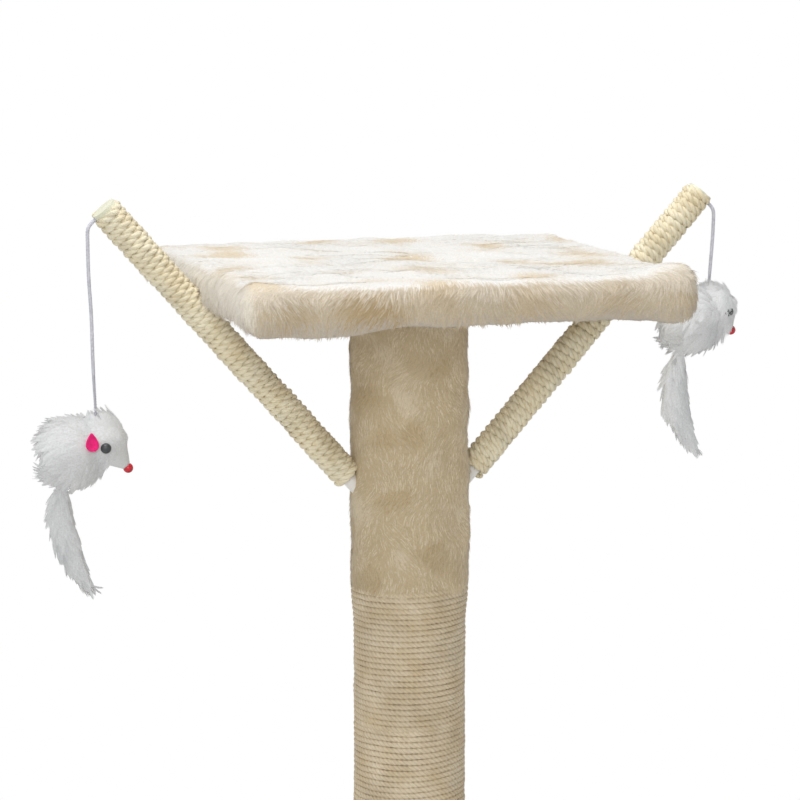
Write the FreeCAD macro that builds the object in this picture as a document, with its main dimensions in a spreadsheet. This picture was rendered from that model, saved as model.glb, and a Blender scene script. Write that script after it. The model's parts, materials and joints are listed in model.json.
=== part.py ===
import FreeCAD, Part
import Sketcher
import math
import os

# Cat scratching post: a square base, a post wound with sisal rope below and wrapped in plush above,
# a square plush platform on top, and two rope-wound branches with a toy mouse hanging from each.
# Millimetres, +Z up, origin on the floor under the post's axis. +X points to the right branch.

SIZES = (
    ("pad_diameter", 30, "felt foot pad"),
    ("pad_thickness", 5, "felt foot pad"),
    ("pad_inset", 50, "from the board's edge to a pad's centre"),
    ("base_side", 380, "base board"),
    ("base_corner", 30, "base board, corner radius"),
    ("base_board_thickness", 15, "base board"),
    ("platform_side", 286, "platform board"),
    ("platform_corner", 8, "platform board, corner radius"),
    ("platform_board_thickness", 15, "platform board"),
    ("plush_thickness", 5.5, "plush on the base, its pile pressed flat"),
    ("plush_edge_round", 5, "upper edge of the base's cover"),
    ("platform_plush", 8, "plush on the platform, its pile half standing"),
    ("platform_edge_round", 8, "upper edge of the platform's cover"),
    ("platform_under_round", 12, "lower edge of the platform's cover"),
    ("hem_width", 28, "plush turned under a board"),
    ("base_hem_thickness", 3, "plush hem under the base"),
    ("wrap_gap", 0.1, "between plush and what it wraps"),
    ("tube_diameter", 72, "cardboard tube, outside"),
    ("tube_wall", 4, "cardboard tube"),
    ("tube_length", 616, "cardboard tube"),
    ("sleeve_thickness", 5, "plush sleeve on the post, pile pressed flat"),
    ("plug_length", 25, "wooden plug in each end of the tube"),
    ("plug_gap", 0.1, "between a wooden plug and the tube"),
    ("insert_diameter", 12, "threaded insert, outside"),
    ("insert_length", 20, "threaded insert"),
    ("bolt_diameter", 8, "base bolt and platform stud"),
    ("bolt_reach", 14, "bolt or stud inside its insert"),
    ("bolt_head_width", 13, "across the corners"),
    ("bolt_head_height", 5, "base bolt"),
    ("thread_gap", 0.1, "between a thread's bolt and its nut"),
    ("hole_gap", 0.4, "between a bolt or nut and its hole in a board"),
    ("washer_diameter", 24, "base washer"),
    ("washer_thickness", 1.6, "base washer"),
    ("tee_flange_diameter", 24, "tee nut"),
    ("tee_flange_thickness", 1.5, "tee nut"),
    ("tee_barrel_diameter", 10.5, "tee nut"),
    ("tee_barrel_length", 9, "tee nut"),
    ("rope_diameter", 3.55, "sisal rope on the post"),
    ("rope_gap", 0.45, "between neighbouring turns on the post"),
    ("rope_turns", 24, "turns of each rope length on the post"),
    ("rope_lengths", 4, "rope lengths on the post"),
    ("rope_seat", 0.1, "between rope and what it is wound on"),
    ("rope_rest", 0.4, "between a winding and the plush beside it"),
    ("branch_angle", 41.7, "of a branch from the vertical, degrees"),
    ("branch_inset", 22, "post axis to the rod's inner end"),
    ("branch_edge_gap", 0.6, "between a branch's rope and the platform's cover"),
    ("branch_press", 4.95, "how far a branch dents the platform's plush"),
    ("winding_tube_gap", 0.2, "between a branch's first turn and the post's tube"),
    ("winding_end_gap", 0.5, "between a branch's last turn and its end plug"),
    ("rod_diameter", 12, "plastic rod of a branch"),
    ("rod_wall", 1.5, "plastic rod of a branch"),
    ("socket_gap", 0.1, "between a rod and its socket"),
    ("sleeve_hole_gap", 0.4, "between a rod and the plush round it"),
    ("block_length", 100, "wooden block that holds the rods"),
    ("block_below", 22, "block's lower face below the branches' crossing"),
    ("branch_rope_diameter", 4.95, "sisal rope on the branches"),
    ("branch_rope_gap", 0.45, "between neighbouring turns on a branch"),
    ("branch_length_gap", 1, "between rope lengths on a branch"),
    ("left_lower_turns", 15, "turns of the lower rope length, left branch"),
    ("left_middle_turns", 24, "turns of the middle rope length, left branch"),
    ("left_tip_turns", 5, "turns of the tip rope length, left branch"),
    ("right_lower_turns", 22, "turns of the lower rope length, right branch"),
    ("right_middle_turns", 18, "turns of the middle rope length, right branch"),
    ("right_tip_turns", 4, "turns of the tip rope length, right branch"),
    ("tip_flange_diameter", 18, "plug in a branch's end"),
    ("tip_flange_thickness", 4.4, "plug in a branch's end"),
    ("tip_spigot_length", 12, "plug in a branch's end"),
    ("string_diameter", 2.6, "toy cord"),
    ("string_hole_gap", 0.3, "between cord and plug"),
    ("string_link_gap", 0.3, "from the plug's rim to the free cord, and from its bend to its drop"),
    ("string_bend_run", 3.8, "each run of the bend at the branch tip"),
    ("anchor_knot_diameter", 7, "knot on the cord's inner end"),
    ("knot_diameter", 5, "knot in a mouse's back"),
    ("knot_gap", 0.3, "round that knot"),
    ("knot_depth", 8, "pocket for that knot"),
    ("mouse_rump_radius", 20.5, "big end of the body"),
    ("mouse_chest_radius", 13, "small end of the body"),
    ("mouse_body_spacing", 14, "between the centres of those ends"),
    ("mouse_body_tilt", 10, "body's axis above the horizontal, degrees"),
    ("mouse_rump_back", 14.5, "rump's centre behind the cord"),
    ("mouse_head_radius", 15, "big end of the head"),
    ("mouse_snout_radius", 4, "small end of the head"),
    ("mouse_head_spacing", 20.6, "between the centres of those ends"),
    ("mouse_head_tilt", 49, "head's axis below the horizontal, degrees"),
    ("mouse_head_forward", 5, "head's centre before the cord"),
    ("mouse_head_drop", 13, "head's centre below the back"),
    ("nose_radius", 3.5, "bead"),
    ("eye_radius", 3.7, "bead"),
    ("eye_forward", 2.4, "before the head's centre"),
    ("eye_drop", 2.6, "below the head's centre"),
    ("eye_sink", 0.6, "bead's centre inside the head"),
    ("ear_length", 11, "felt ear"),
    ("ear_width", 8.5, "felt ear"),
    ("ear_thickness", 1.5, "felt ear"),
    ("ear_along", 11.8, "ear's centre before the rump's centre, along the body"),
    ("ear_above", 5.8, "ear's centre above the body's axis"),
    ("ear_seat", 0.2, "between ear and body"),
    ("tail_length", 73, "fur tail"),
    ("tail_width", 14, "fur tail"),
    ("tail_thickness", 8, "fur tail"),
    ("tail_back", 24, "tail's root behind the cord"),
    ("tail_seat", 1.2, "between the middle of the tail's root and the body"),
    ("tail_lean", 8, "first backward lean of the tail"),
    ("tail_curl", 27, "forward curl of the tail's end"),
    ("left_mouse_heading", -16.8, "degrees from +X"),
    ("right_mouse_heading", 16, "degrees from +X"),
    ("staple_width", 10, "wire staple"),
    ("staple_leg", 11, "wire staple"),
    ("staple_wire", 1, "wire staple"),
    ("rope_staple_width", 6, "wire staple over a rope end"),
    ("rope_staple_leg", 7, "wire staple over a rope end"),
    ("nail_length", 18, "nail through the tube"),
    ("nail_diameter", 1.8, "nail through the tube"),
    ("nail_head_diameter", 5, "nail through the tube"),
    ("nail_head_thickness", 1, "nail through the tube"),
)

# Route points of the free cords below their bend: (towards +X, down), chosen to follow the photograph.
LEFT_STRING_DROP = ((0.2, 26), (1.9, 52), (2.2, 77), (3.0, 103), (4.4, 128.9))
RIGHT_STRING_DROP = ((-0.6, 16), (-2.0, 33), (-3.2, 52.5))
STAPLES_PER_SIDE = 4
TAIL_SECTIONS = 6
TAIL_ROOT_PHASE = 0.03
TAIL_TIP_PHASE = 0.94
TAIL_FULLNESS = 0.7
POINTS_PER_TURN = 24
ARC_SHARE = 0.45

LEFT = -1
RIGHT = 1
SIDE_NAMES = {LEFT: "left", RIGHT: "right"}
BRANCH_ROPES = ("lower", "middle", "tip")
UP = FreeCAD.Vector(0, 0, 1)
Y_DIRECTION = FreeCAD.Vector(0, 1, 0)

doc = FreeCAD.newDocument("CatPost")
sheet = doc.addObject("Spreadsheet::Sheet", "Sizes")
for row, (alias, number, meaning) in enumerate(SIZES, start=1):
    sheet.set(f"A{row}", alias)
    sheet.set(f"B{row}", str(number))
    sheet.set(f"C{row}", meaning)
    sheet.setAlias(f"B{row}", alias)
doc.recompute()
nodes = []


class Length:
    """A size as the sheet expression that binds it and as the number that it gives."""

    def __init__(self, text, value):
        self.text = text
        self.value = value

    def __add__(self, other):
        other = as_length(other)
        return Length(f"({self.text} + {other.text})", self.value + other.value)

    def __sub__(self, other):
        other = as_length(other)
        return Length(f"({self.text} - {other.text})", self.value - other.value)

    def __mul__(self, other):
        other = as_length(other)
        return Length(f"({self.text} * {other.text})", self.value * other.value)

    def __truediv__(self, other):
        other = as_length(other)
        return Length(f"({self.text} / {other.text})", self.value / other.value)

    def __neg__(self):
        return Length(f"(-1 * {self.text})", -self.value)


def as_length(item):
    return item if isinstance(item, Length) else Length(f"({item})", float(item))


def size(alias):
    return Length(f"Sizes.{alias}", float(sheet.get(alias)))


def number_of(alias):
    return size(alias).value


def count_of(alias):
    return int(round(number_of(alias)))


def sine(angle):
    return Length(f"sin({angle.text})", math.sin(math.radians(angle.value)))


def cosine(angle):
    return Length(f"cos({angle.text})", math.cos(math.radians(angle.value)))


def bind(item, **properties):
    for name, length in properties.items():
        item.setExpression(name, as_length(length).text)


def put(item, x=0, y=0, z=0):
    """Binds the item's place, and keeps its rotation."""
    for axis, length in (("x", x), ("y", y), ("z", z)):
        item.setExpression(f"Placement.Base.{axis}", as_length(length).text)
    return item


def node(item, label):
    item.Label = label
    nodes.append(item)
    return item


def cylinder(name, diameter, height):
    item = doc.addObject("Part::Cylinder", name)
    bind(item, Radius=diameter / 2, Height=height)
    return item


def sphere(name, radius):
    item = doc.addObject("Part::Sphere", name)
    bind(item, Radius=radius)
    return item


def box(name, length, width, height):
    item = doc.addObject("Part::Box", name)
    bind(item, Length=length, Width=width, Height=height)
    return item


def cut(name, base, *tools):
    for index, tool in enumerate(tools):
        step = doc.addObject("Part::Cut", f"{name}_cut_{index}")
        step.Base = base
        step.Tool = tool
        base = step
    return base


def fuse(name, *items):
    result = doc.addObject("Part::MultiFuse", f"{name}_fuse")
    result.Shapes = list(items)
    return result


def group(name, *items):
    result = doc.addObject("Part::Compound", f"{name}_group")
    result.Links = list(items)
    return result


def plain_feature(name, shape, placement=None):
    item = doc.addObject("Part::Feature", name)
    item.Shape = shape
    if placement is not None:
        item.Placement = placement
    return item


def copies(name, pattern, placements):
    """One feature that holds a copy of the pattern's solid at each placement."""
    shapes = []
    for placement in placements:
        shape = pattern.Shape.copy()
        shape.Placement = placement.multiply(shape.Placement)
        shapes.append(shape)
    return plain_feature(name, Part.makeCompound(shapes))


def sketch_on(body, name, role):
    sketch = body.newObject("Sketcher::SketchObject", name)
    plane = [feature for feature in body.Origin.OriginFeatures if feature.Role == role][0]
    sketch.AttachmentSupport = [(plane, "")]
    sketch.MapMode = "FlatFace"
    return sketch


def constrain(sketch, length, *definition):
    """Adds a named constraint whose value follows a size."""
    index = sketch.addConstraint(Sketcher.Constraint(*definition, length.value))
    name = f"size_{index}"
    sketch.renameConstraint(index, name)
    sketch.setExpression(f"Constraints.{name}", length.text)


def rounded_square(sketch, side, corner):
    """A square about the sketch's origin with tangent corner arcs."""
    half = side.value / 2
    inner = half - corner.value
    for turn in range(4):
        swing = FreeCAD.Rotation(UP, 90 * turn)
        start = swing.multVec(FreeCAD.Vector(-inner, -half, 0))
        end = swing.multVec(FreeCAD.Vector(inner, -half, 0))
        centre = swing.multVec(FreeCAD.Vector(inner, -inner, 0))
        first = math.radians(90 * turn - 90)
        sketch.addGeometry(Part.LineSegment(start, end))
        circle = Part.Circle(centre, UP, corner.value)
        sketch.addGeometry(Part.ArcOfCircle(circle, first, first + math.pi / 2))
    for index in range(8):
        sketch.addConstraint(Sketcher.Constraint("Tangent", index, 2, (index + 1) % 8, 1))
    for line, direction in ((0, "Horizontal"), (2, "Vertical"), (4, "Horizontal"), (6, "Vertical")):
        sketch.addConstraint(Sketcher.Constraint(direction, line))
    for arc in (3, 5, 7):
        sketch.addConstraint(Sketcher.Constraint("Equal", 1, arc))
    constrain(sketch, corner, "Radius", 1)
    constrain(sketch, side, "DistanceX", 6, 1, 2, 1)
    constrain(sketch, side, "DistanceY", 0, 1, 4, 1)
    constrain(sketch, side / 2, "DistanceX", -1, 1, 2, 1)
    constrain(sketch, side / 2, "DistanceY", 0, 1, -1, 1)


def slab(name, side, corner, thickness, level, upper_round=None, lower_round=None):
    """A square plate with round corners, whose upper and lower edges may be rounded too."""
    body = doc.addObject("PartDesign::Body", name)
    sketch = sketch_on(body, f"{name}_outline", "XY_Plane")
    rounded_square(sketch, side, corner)
    feature = body.newObject("PartDesign::Pad", f"{name}_pad")
    feature.Profile = sketch
    bind(feature, Length=thickness)
    for height, radius in ((thickness.value, upper_round), (0, lower_round)):
        if radius is None:
            continue
        doc.recompute()
        rim = [
            f"Edge{index}"
            for index, edge in enumerate(feature.Shape.Edges, start=1)
            if all(abs(vertex.Z - height) < 1e-6 for vertex in edge.Vertexes)
        ]
        fillet = body.newObject("PartDesign::Fillet", f"{name}_round_{int(height)}")
        fillet.Base = (feature, rim)
        bind(fillet, Radius=radius)
        feature = fillet
    return put(body, z=level)


def egg(name, big, small, spacing):
    """A revolved egg along its own X axis, with the big end's centre at its origin."""
    body = doc.addObject("PartDesign::Body", name)
    sketch = sketch_on(body, f"{name}_outline", "XY_Plane")
    lean = math.asin((big.value - small.value) / spacing.value)
    touch = math.pi / 2 - lean
    far = FreeCAD.Vector(spacing.value, 0, 0)
    slope = FreeCAD.Vector(math.cos(touch), math.sin(touch), 0)
    big_circle = Part.Circle(FreeCAD.Vector(), UP, big.value)
    small_circle = Part.Circle(far, UP, small.value)
    sketch.addGeometry(Part.ArcOfCircle(small_circle, 0, touch))
    sketch.addGeometry(Part.LineSegment(far + slope * small.value, slope * big.value))
    sketch.addGeometry(Part.ArcOfCircle(big_circle, touch, math.pi))
    tips = FreeCAD.Vector(-big.value, 0, 0), FreeCAD.Vector(spacing.value + small.value, 0, 0)
    sketch.addGeometry(Part.LineSegment(*tips))
    for definition in (
        ("Tangent", 0, 2, 1, 1),
        ("Tangent", 1, 2, 2, 1),
        ("Coincident", 2, 2, 3, 1),
        ("Coincident", 3, 2, 0, 1),
        ("Coincident", 2, 3, -1, 1),
        ("PointOnObject", 0, 3, -1),
        ("PointOnObject", 2, 2, -1),
        ("PointOnObject", 0, 1, -1),
    ):
        sketch.addConstraint(Sketcher.Constraint(*definition))
    constrain(sketch, small, "Radius", 0)
    constrain(sketch, big, "Radius", 2)
    constrain(sketch, spacing, "DistanceX", 2, 3, 0, 3)
    turned = body.newObject("PartDesign::Revolution", f"{name}_turned")
    turned.Profile = sketch
    turned.ReferenceAxis = (sketch, ["H_Axis"])
    turned.Angle = 360
    return body


def arc_in_corner(start, corner, end):
    """The arc from start to end that is tangent there to the lines through the corner."""
    middle = (start + end) * 0.5
    half_chord = (end - start).Length / 2
    half_turn = math.acos(min(1.0, half_chord / (corner - start).Length))
    inward = (corner - middle).normalize()
    return Part.Arc(start, middle + inward * (half_chord * math.tan(half_turn / 2)), end).toShape()


def tube_along(edges, diameter, start, direction):
    path = Part.Wire(edges)
    profile = Part.Wire([Part.makeCircle(diameter / 2, start, direction)])
    solid = path.makePipeShell([profile], True, False)
    share = solid.Volume / (math.pi * diameter**2 / 4 * path.Length)
    return solid, path.Length, share


def cord_tube(name, points, diameter):
    """A tube with a round upper end, its runs joined by arcs that are as large as the runs allow."""
    edges = []
    radii = []
    last = points[0]
    for before, corner, after in zip(points, points[1:], points[2:]):
        run_in = corner - before
        run_out = after - corner
        turn = run_in.getAngle(run_out)
        reach = ARC_SHARE * min(run_in.Length, run_out.Length)
        start = corner - run_in.normalize() * reach
        end = corner + run_out.normalize() * reach
        edges.append(Part.LineSegment(last, start).toShape())
        edges.append(arc_in_corner(start, corner, end))
        radii.append(round(reach / math.tan(turn / 2), 1))
        last = end
    edges.append(Part.LineSegment(last, points[-1]).toShape())
    solid, length, share = tube_along(edges, diameter, points[0], points[1] - points[0])
    print(f"{name}: length {length:.1f} mm, arc radii {radii}, volume share {share:.4f}")
    round_end = Part.makeSphere(diameter / 2, points[0], points[0] - points[1], 0, 90, 360)
    return solid.fuse(round_end).removeSplitter()


def turn_edges(start, start_direction, end, end_direction):
    """Two arcs, tangent to each other and to both directions."""
    across = end - start
    both = start_direction + end_direction
    a = 2 * (start_direction.dot(end_direction) - 1)
    b = -2 * across.dot(both)
    c = across.dot(across)
    reach = (-b - math.sqrt(b * b - 4 * a * c)) / (2 * a)
    first = start + start_direction * reach
    second = end - end_direction * reach
    middle = (first + second) * 0.5
    return [arc_in_corner(start, first, middle), arc_in_corner(middle, second, end)]


def winding(name, radius, diameter, pitch, turns):
    """One unbroken right-handed rope about the Z axis, its lowest turn resting on Z = 0."""
    rise = pitch / (2 * math.pi)

    def point(angle):
        height = diameter / 2 + rise * angle
        return FreeCAD.Vector(radius * math.cos(angle), radius * math.sin(angle), height)

    def direction(angle):
        return FreeCAD.Vector(-radius * math.sin(angle), radius * math.cos(angle), rise).normalize()

    stops = [math.pi * half for half in range(2 * turns + 1)]
    first = point(stops[0]) - direction(stops[0]) * diameter
    last = point(stops[-1]) + direction(stops[-1]) * diameter
    edges = [Part.LineSegment(first, point(stops[0])).toShape()]
    for start, end in zip(stops, stops[1:]):
        edges += turn_edges(point(start), direction(start), point(end), direction(end))
    edges.append(Part.LineSegment(point(stops[-1]), last).toShape())
    solid, length, share = tube_along(edges, diameter, first, direction(stops[0]))
    line = [spot for edge in edges for spot in edge.discretize(POINTS_PER_TURN // 4 + 1)[:-1]]
    half_turn = POINTS_PER_TURN // 2
    next_turn = POINTS_PER_TURN + half_turn
    nearest = min(
        (spot - other).Length
        for index, spot in enumerate(line)
        for other in line[index + half_turn : index + next_turn]
    )
    print(f"{name}: rope {length:.0f} mm, least gap {nearest - diameter:.2f} mm, volume share {share:.4f}")
    return solid


# Levels and shared places
plush = size("plush_thickness")
wrap_gap = size("wrap_gap")
base_top = size("pad_thickness") + size("base_board_thickness")
base_cover_top = base_top + plush
tube_top = base_top + size("tube_length")
top_plush = size("platform_plush")
platform_under = tube_top - top_plush
platform_board_top = tube_top + size("platform_board_thickness")
tube_bore = size("tube_diameter") - size("tube_wall") * 2
tube_hole = size("tube_diameter") + wrap_gap * 2

rope_pitch = size("rope_diameter") + size("rope_gap")
rope_radius = size("tube_diameter") / 2 + size("rope_seat") + size("rope_diameter") / 2
rope_step = rope_pitch * size("rope_turns") + size("rope_diameter") + size("rope_gap")
rope_bottom = base_cover_top + size("rope_rest")
sleeve_bottom = rope_bottom + rope_step * size("rope_lengths") + size("rope_rest")

# A branch's axis passes the platform's rounded lower edge, and its rope lies in a dent in the cover.
angle = size("branch_angle")
branch_rope_reach = size("rod_diameter") / 2 + size("rope_seat") + size("branch_rope_diameter")
edge_x = size("platform_side") / 2 + top_plush - size("platform_under_round")
edge_z = platform_under + size("platform_under_round")
dent_reach = branch_rope_reach + size("branch_edge_gap")
edge_clear = size("platform_under_round") + dent_reach - size("branch_press")
crossing = edge_z - (edge_x * cosine(angle) + edge_clear) / sine(angle)

# Along a branch, from the post's axis: its winding starts where the rope just clears the tube, and its
# end plug follows the winding.
branch_pitch = size("branch_rope_diameter") + size("branch_rope_gap")
winding_inner = size("tube_diameter") / 2 + size("winding_tube_gap")
winding_start = (winding_inner + branch_rope_reach * cosine(angle)) / sine(angle)


def branch_end(side_name):
    """The end of a branch's rod, which carries its end plug."""
    turns = sum(count_of(f"{side_name}_{rope}_turns") for rope in BRANCH_ROPES)
    ends = size("branch_rope_diameter") * len(BRANCH_ROPES)
    gaps = size("branch_length_gap") * (len(BRANCH_ROPES) - 1)
    return winding_start + branch_pitch * turns + ends + gaps + size("winding_end_gap")


def flange_middle(side_name):
    return branch_end(side_name) + size("tip_flange_thickness") / 2


def branch_point(side, along, out=0.0):
    """A point on a branch, measured along it from the post's axis and out from it below."""
    turn = math.radians(angle.value)
    x = along * math.sin(turn) + out * math.cos(turn)
    z = crossing.value + along * math.cos(turn) - out * math.sin(turn)
    return FreeCAD.Vector(side * x, 0, z)


def on_branch(item, side, along):
    """Lays an upright item along a branch."""
    turn = FreeCAD.Rotation(Y_DIRECTION, side * angle.value)
    item.Placement = FreeCAD.Placement(FreeCAD.Vector(), turn)
    return put(item, x=along * sine(angle) * side, z=crossing + along * cosine(angle))


# Staple and nail patterns
def staple_pattern(name, width, leg):
    wire = size("staple_wire")
    outer = put(box(f"{name}_outer", width, wire, leg), x=-(width / 2), y=-(wire / 2))
    opening = box(f"{name}_opening", width - wire * 2, wire, leg - wire)
    put(opening, x=wire - width / 2, y=-(wire / 2), z=wire)
    return cut(name, outer, opening)


def nail_pattern():
    shank = cylinder("nail_shank", size("nail_diameter"), size("nail_length"))
    head = cylinder("nail_head", size("nail_head_diameter"), size("nail_head_thickness"))
    put(head, z=size("nail_length") - size("nail_head_thickness"))
    return fuse("nail", shank, head)


staple = staple_pattern("hem_staple", size("staple_width"), size("staple_leg"))
rope_staple = staple_pattern("rope_end_staple", size("rope_staple_width"), size("rope_staple_leg"))
nail = nail_pattern()
doc.recompute()


def hem_staples(label, side, crown_level):
    """Staples driven up through a hem, a row along each edge."""
    middle = number_of(side) / 2 - number_of("hem_width") / 2
    spacing = 2 * middle / STAPLES_PER_SIDE
    places = []
    for turn in range(4):
        swing = FreeCAD.Rotation(UP, 90 * turn)
        for index in range(STAPLES_PER_SIDE):
            along = (index + 0.5) * spacing - middle
            spot = swing.multVec(FreeCAD.Vector(along, -middle, 0))
            spot.z = crown_level.value
            places.append(FreeCAD.Placement(spot, swing))
    node(copies(label, staple, places), label)


# Base
board_blank = slab("base_board_blank", size("base_side"), size("base_corner"),
                   size("base_board_thickness"), size("pad_thickness"))
recess_depth = size("bolt_head_height") + size("washer_thickness")
bolt_hole = put(cylinder("base_bolt_hole", size("bolt_diameter") + size("hole_gap"),
                         size("base_board_thickness")), z=size("pad_thickness"))
bolt_recess = put(cylinder("base_bolt_recess", size("washer_diameter") + size("hole_gap"), recess_depth),
                  z=size("pad_thickness"))
node(cut("base_board", board_blank, bolt_hole, bolt_recess), "base_board")

hem_bottom = size("pad_thickness") - size("base_hem_thickness")
cover_height = size("base_hem_thickness") + size("base_board_thickness") + plush
cover_blank = slab("base_cover_blank", size("base_side") + plush * 2, size("base_corner") + plush,
                   cover_height, hem_bottom, upper_round=size("plush_edge_round"))
board_space = slab("base_board_space", size("base_side") + wrap_gap * 2, size("base_corner") + wrap_gap,
                   size("base_board_thickness"), size("pad_thickness"))
hem_opening = slab("base_hem_opening", size("base_side") - size("hem_width") * 2, size("base_corner"),
                   size("base_hem_thickness"), hem_bottom)
post_hole = put(cylinder("base_post_hole", tube_hole, plush), z=base_top)
node(cut("base_plush_cover", cover_blank, board_space, hem_opening, post_hole), "base_plush_cover")
hem_staples("base_staples", "base_side", hem_bottom)

pad_place = size("base_side") / 2 - size("pad_inset")
pads = []
for x_sign in (-1, 1):
    for y_sign in (-1, 1):
        pad = cylinder("foot_pad", size("pad_diameter"), size("pad_thickness"))
        pads.append(put(pad, x=pad_place * x_sign, y=pad_place * y_sign))
node(group("foot_pads", *pads), "foot_pads")

bolt_head = doc.addObject("Part::Prism", "base_bolt_head")
bolt_head.Polygon = 6
bind(bolt_head, Circumradius=size("bolt_head_width") / 2, Height=size("bolt_head_height"))
put(bolt_head, z=size("pad_thickness"))
bolt_top = base_top + size("bolt_reach")
bolt_shank = put(cylinder("base_bolt_shank", size("bolt_diameter"), bolt_top - size("pad_thickness")),
                 z=size("pad_thickness"))
node(fuse("base_bolt", bolt_head, bolt_shank), "base_bolt")
washer_level = size("pad_thickness") + size("bolt_head_height")
washer_disc = put(cylinder("washer_disc", size("washer_diameter"), size("washer_thickness")), z=washer_level)
washer_hole = put(cylinder("washer_hole", size("bolt_diameter") + size("hole_gap"),
                           size("washer_thickness")), z=washer_level)
node(cut("base_washer", washer_disc, washer_hole), "base_washer")

# Branch holes: sockets for the rods in tube and block, and in the plush a hollow for the winding too
socket_reach = winding_start - size("branch_inset")
hollow_start = winding_start - size("sleeve_hole_gap")
sockets = {}
sleeve_holes = {}
for side, side_name in SIDE_NAMES.items():
    socket = cylinder(f"{side_name}_socket", size("rod_diameter") + size("socket_gap") * 2, socket_reach)
    sockets[side] = on_branch(socket, side, size("branch_inset"))
    hole_diameter = size("rod_diameter") + size("sleeve_hole_gap") * 2
    hole = cylinder(f"{side_name}_sleeve_hole", hole_diameter, socket_reach)
    on_branch(hole, side, size("branch_inset"))
    hollow_diameter = (branch_rope_reach + size("sleeve_hole_gap")) * 2
    hollow = cylinder(f"{side_name}_rope_hollow", hollow_diameter, socket_reach)
    on_branch(hollow, side, hollow_start)
    sleeve_holes[side] = fuse(f"{side_name}_sleeve_opening", hole, hollow)

# Post
tube_outside = put(cylinder("tube_outside", size("tube_diameter"), size("tube_length")), z=base_top)
tube_inside = put(cylinder("tube_inside", tube_bore, size("tube_length")), z=base_top)
node(cut("post_tube", tube_outside, tube_inside, sockets[LEFT], sockets[RIGHT]), "post_tube")

plug_diameter = tube_bore - size("plug_gap") * 2
insert_bore = size("bolt_diameter") + size("thread_gap") * 2
lower_insert_level = base_top
upper_insert_level = tube_top - size("insert_length")
for end, plug_level, insert_level in (
    ("lower", base_top, lower_insert_level),
    ("upper", tube_top - size("plug_length"), upper_insert_level),
):
    disc = put(cylinder(f"{end}_plug_disc", plug_diameter, size("plug_length")), z=plug_level)
    seat = put(cylinder(f"{end}_insert_seat", size("insert_diameter"), size("plug_length")), z=plug_level)
    node(cut(f"{end}_end_plug", disc, seat), f"{end}_end_plug")
    barrel = cylinder(f"{end}_insert_barrel", size("insert_diameter"), size("insert_length"))
    put(barrel, z=insert_level)
    bore = put(cylinder(f"{end}_insert_bore", insert_bore, size("insert_length")), z=insert_level)
    node(cut(f"{end}_threaded_insert", barrel, bore), f"{end}_threaded_insert")

sleeve_length = platform_under - sleeve_bottom
sleeve_diameter = tube_hole + size("sleeve_thickness") * 2
sleeve_outside = put(cylinder("sleeve_outside", sleeve_diameter, sleeve_length), z=sleeve_bottom)
sleeve_inside = put(cylinder("sleeve_inside", tube_hole, sleeve_length), z=sleeve_bottom)
node(cut("post_plush_sleeve", sleeve_outside, sleeve_inside, sleeve_holes[LEFT], sleeve_holes[RIGHT]),
     "post_plush_sleeve")

block_level = crossing - size("block_below")
block_blank = put(cylinder("block_blank", plug_diameter, size("block_length")), z=block_level)
node(cut("branch_block", block_blank, sockets[LEFT], sockets[RIGHT]), "branch_block")

rope_staple_places = []
for index in range(count_of("rope_lengths")):
    label = f"post_rope_{index + 1}"
    level = rope_bottom.value + index * rope_step.value
    turns = count_of("rope_turns")
    rope = winding(label, rope_radius.value, number_of("rope_diameter"), rope_pitch.value, turns)
    place = FreeCAD.Placement(FreeCAD.Vector(0, 0, level), FreeCAD.Rotation())
    node(plain_feature(label, rope, place), label)
    half_staple = number_of("rope_staple_width") / 2
    face_x = rope_radius.value + number_of("rope_diameter") / 2
    for height in (level + half_staple, level + rope_step.value - number_of("rope_gap") - half_staple):
        face = FreeCAD.Vector(face_x, 0, height)
        inward = FreeCAD.Rotation(UP, Y_DIRECTION, FreeCAD.Vector(-1, 0, 0), "ZXY")
        rope_staple_places.append(FreeCAD.Placement(face, inward))
node(copies("rope_staples", rope_staple, rope_staple_places), "rope_staples")

nail_places = []
block_spread = number_of("block_length") / 4
for heights, bearings in (
    ([base_top.value + number_of("plug_length") / 2], (45, 135, 225, 315)),
    ([tube_top.value - number_of("plug_length") / 2], (45, 135, 225, 315)),
    ([block_level.value + block_spread, block_level.value + 3 * block_spread], (90, 270)),
):
    for height in heights:
        for bearing in bearings:
            swing = FreeCAD.Rotation(UP, bearing).multiply(FreeCAD.Rotation(Y_DIRECTION, 90))
            inner = number_of("tube_diameter") / 2 - number_of("nail_length")
            spot = FreeCAD.Rotation(UP, bearing).multVec(FreeCAD.Vector(inner, 0, 0))
            spot.z = height
            nail_places.append(FreeCAD.Placement(spot, swing))
node(copies("post_nails", nail, nail_places), "post_nails")

# Platform
top_blank = slab("platform_board_blank", size("platform_side"), size("platform_corner"),
                 size("platform_board_thickness"), tube_top)
tee_hole = put(cylinder("tee_hole", size("tee_barrel_diameter") + size("hole_gap"),
                        size("platform_board_thickness")), z=tube_top)
tee_recess_level = platform_board_top - size("tee_flange_thickness")
tee_recess = put(cylinder("tee_recess", size("tee_flange_diameter") + size("hole_gap"),
                          size("tee_flange_thickness")), z=tee_recess_level)
node(cut("platform_board", top_blank, tee_hole, tee_recess), "platform_board")

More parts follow.
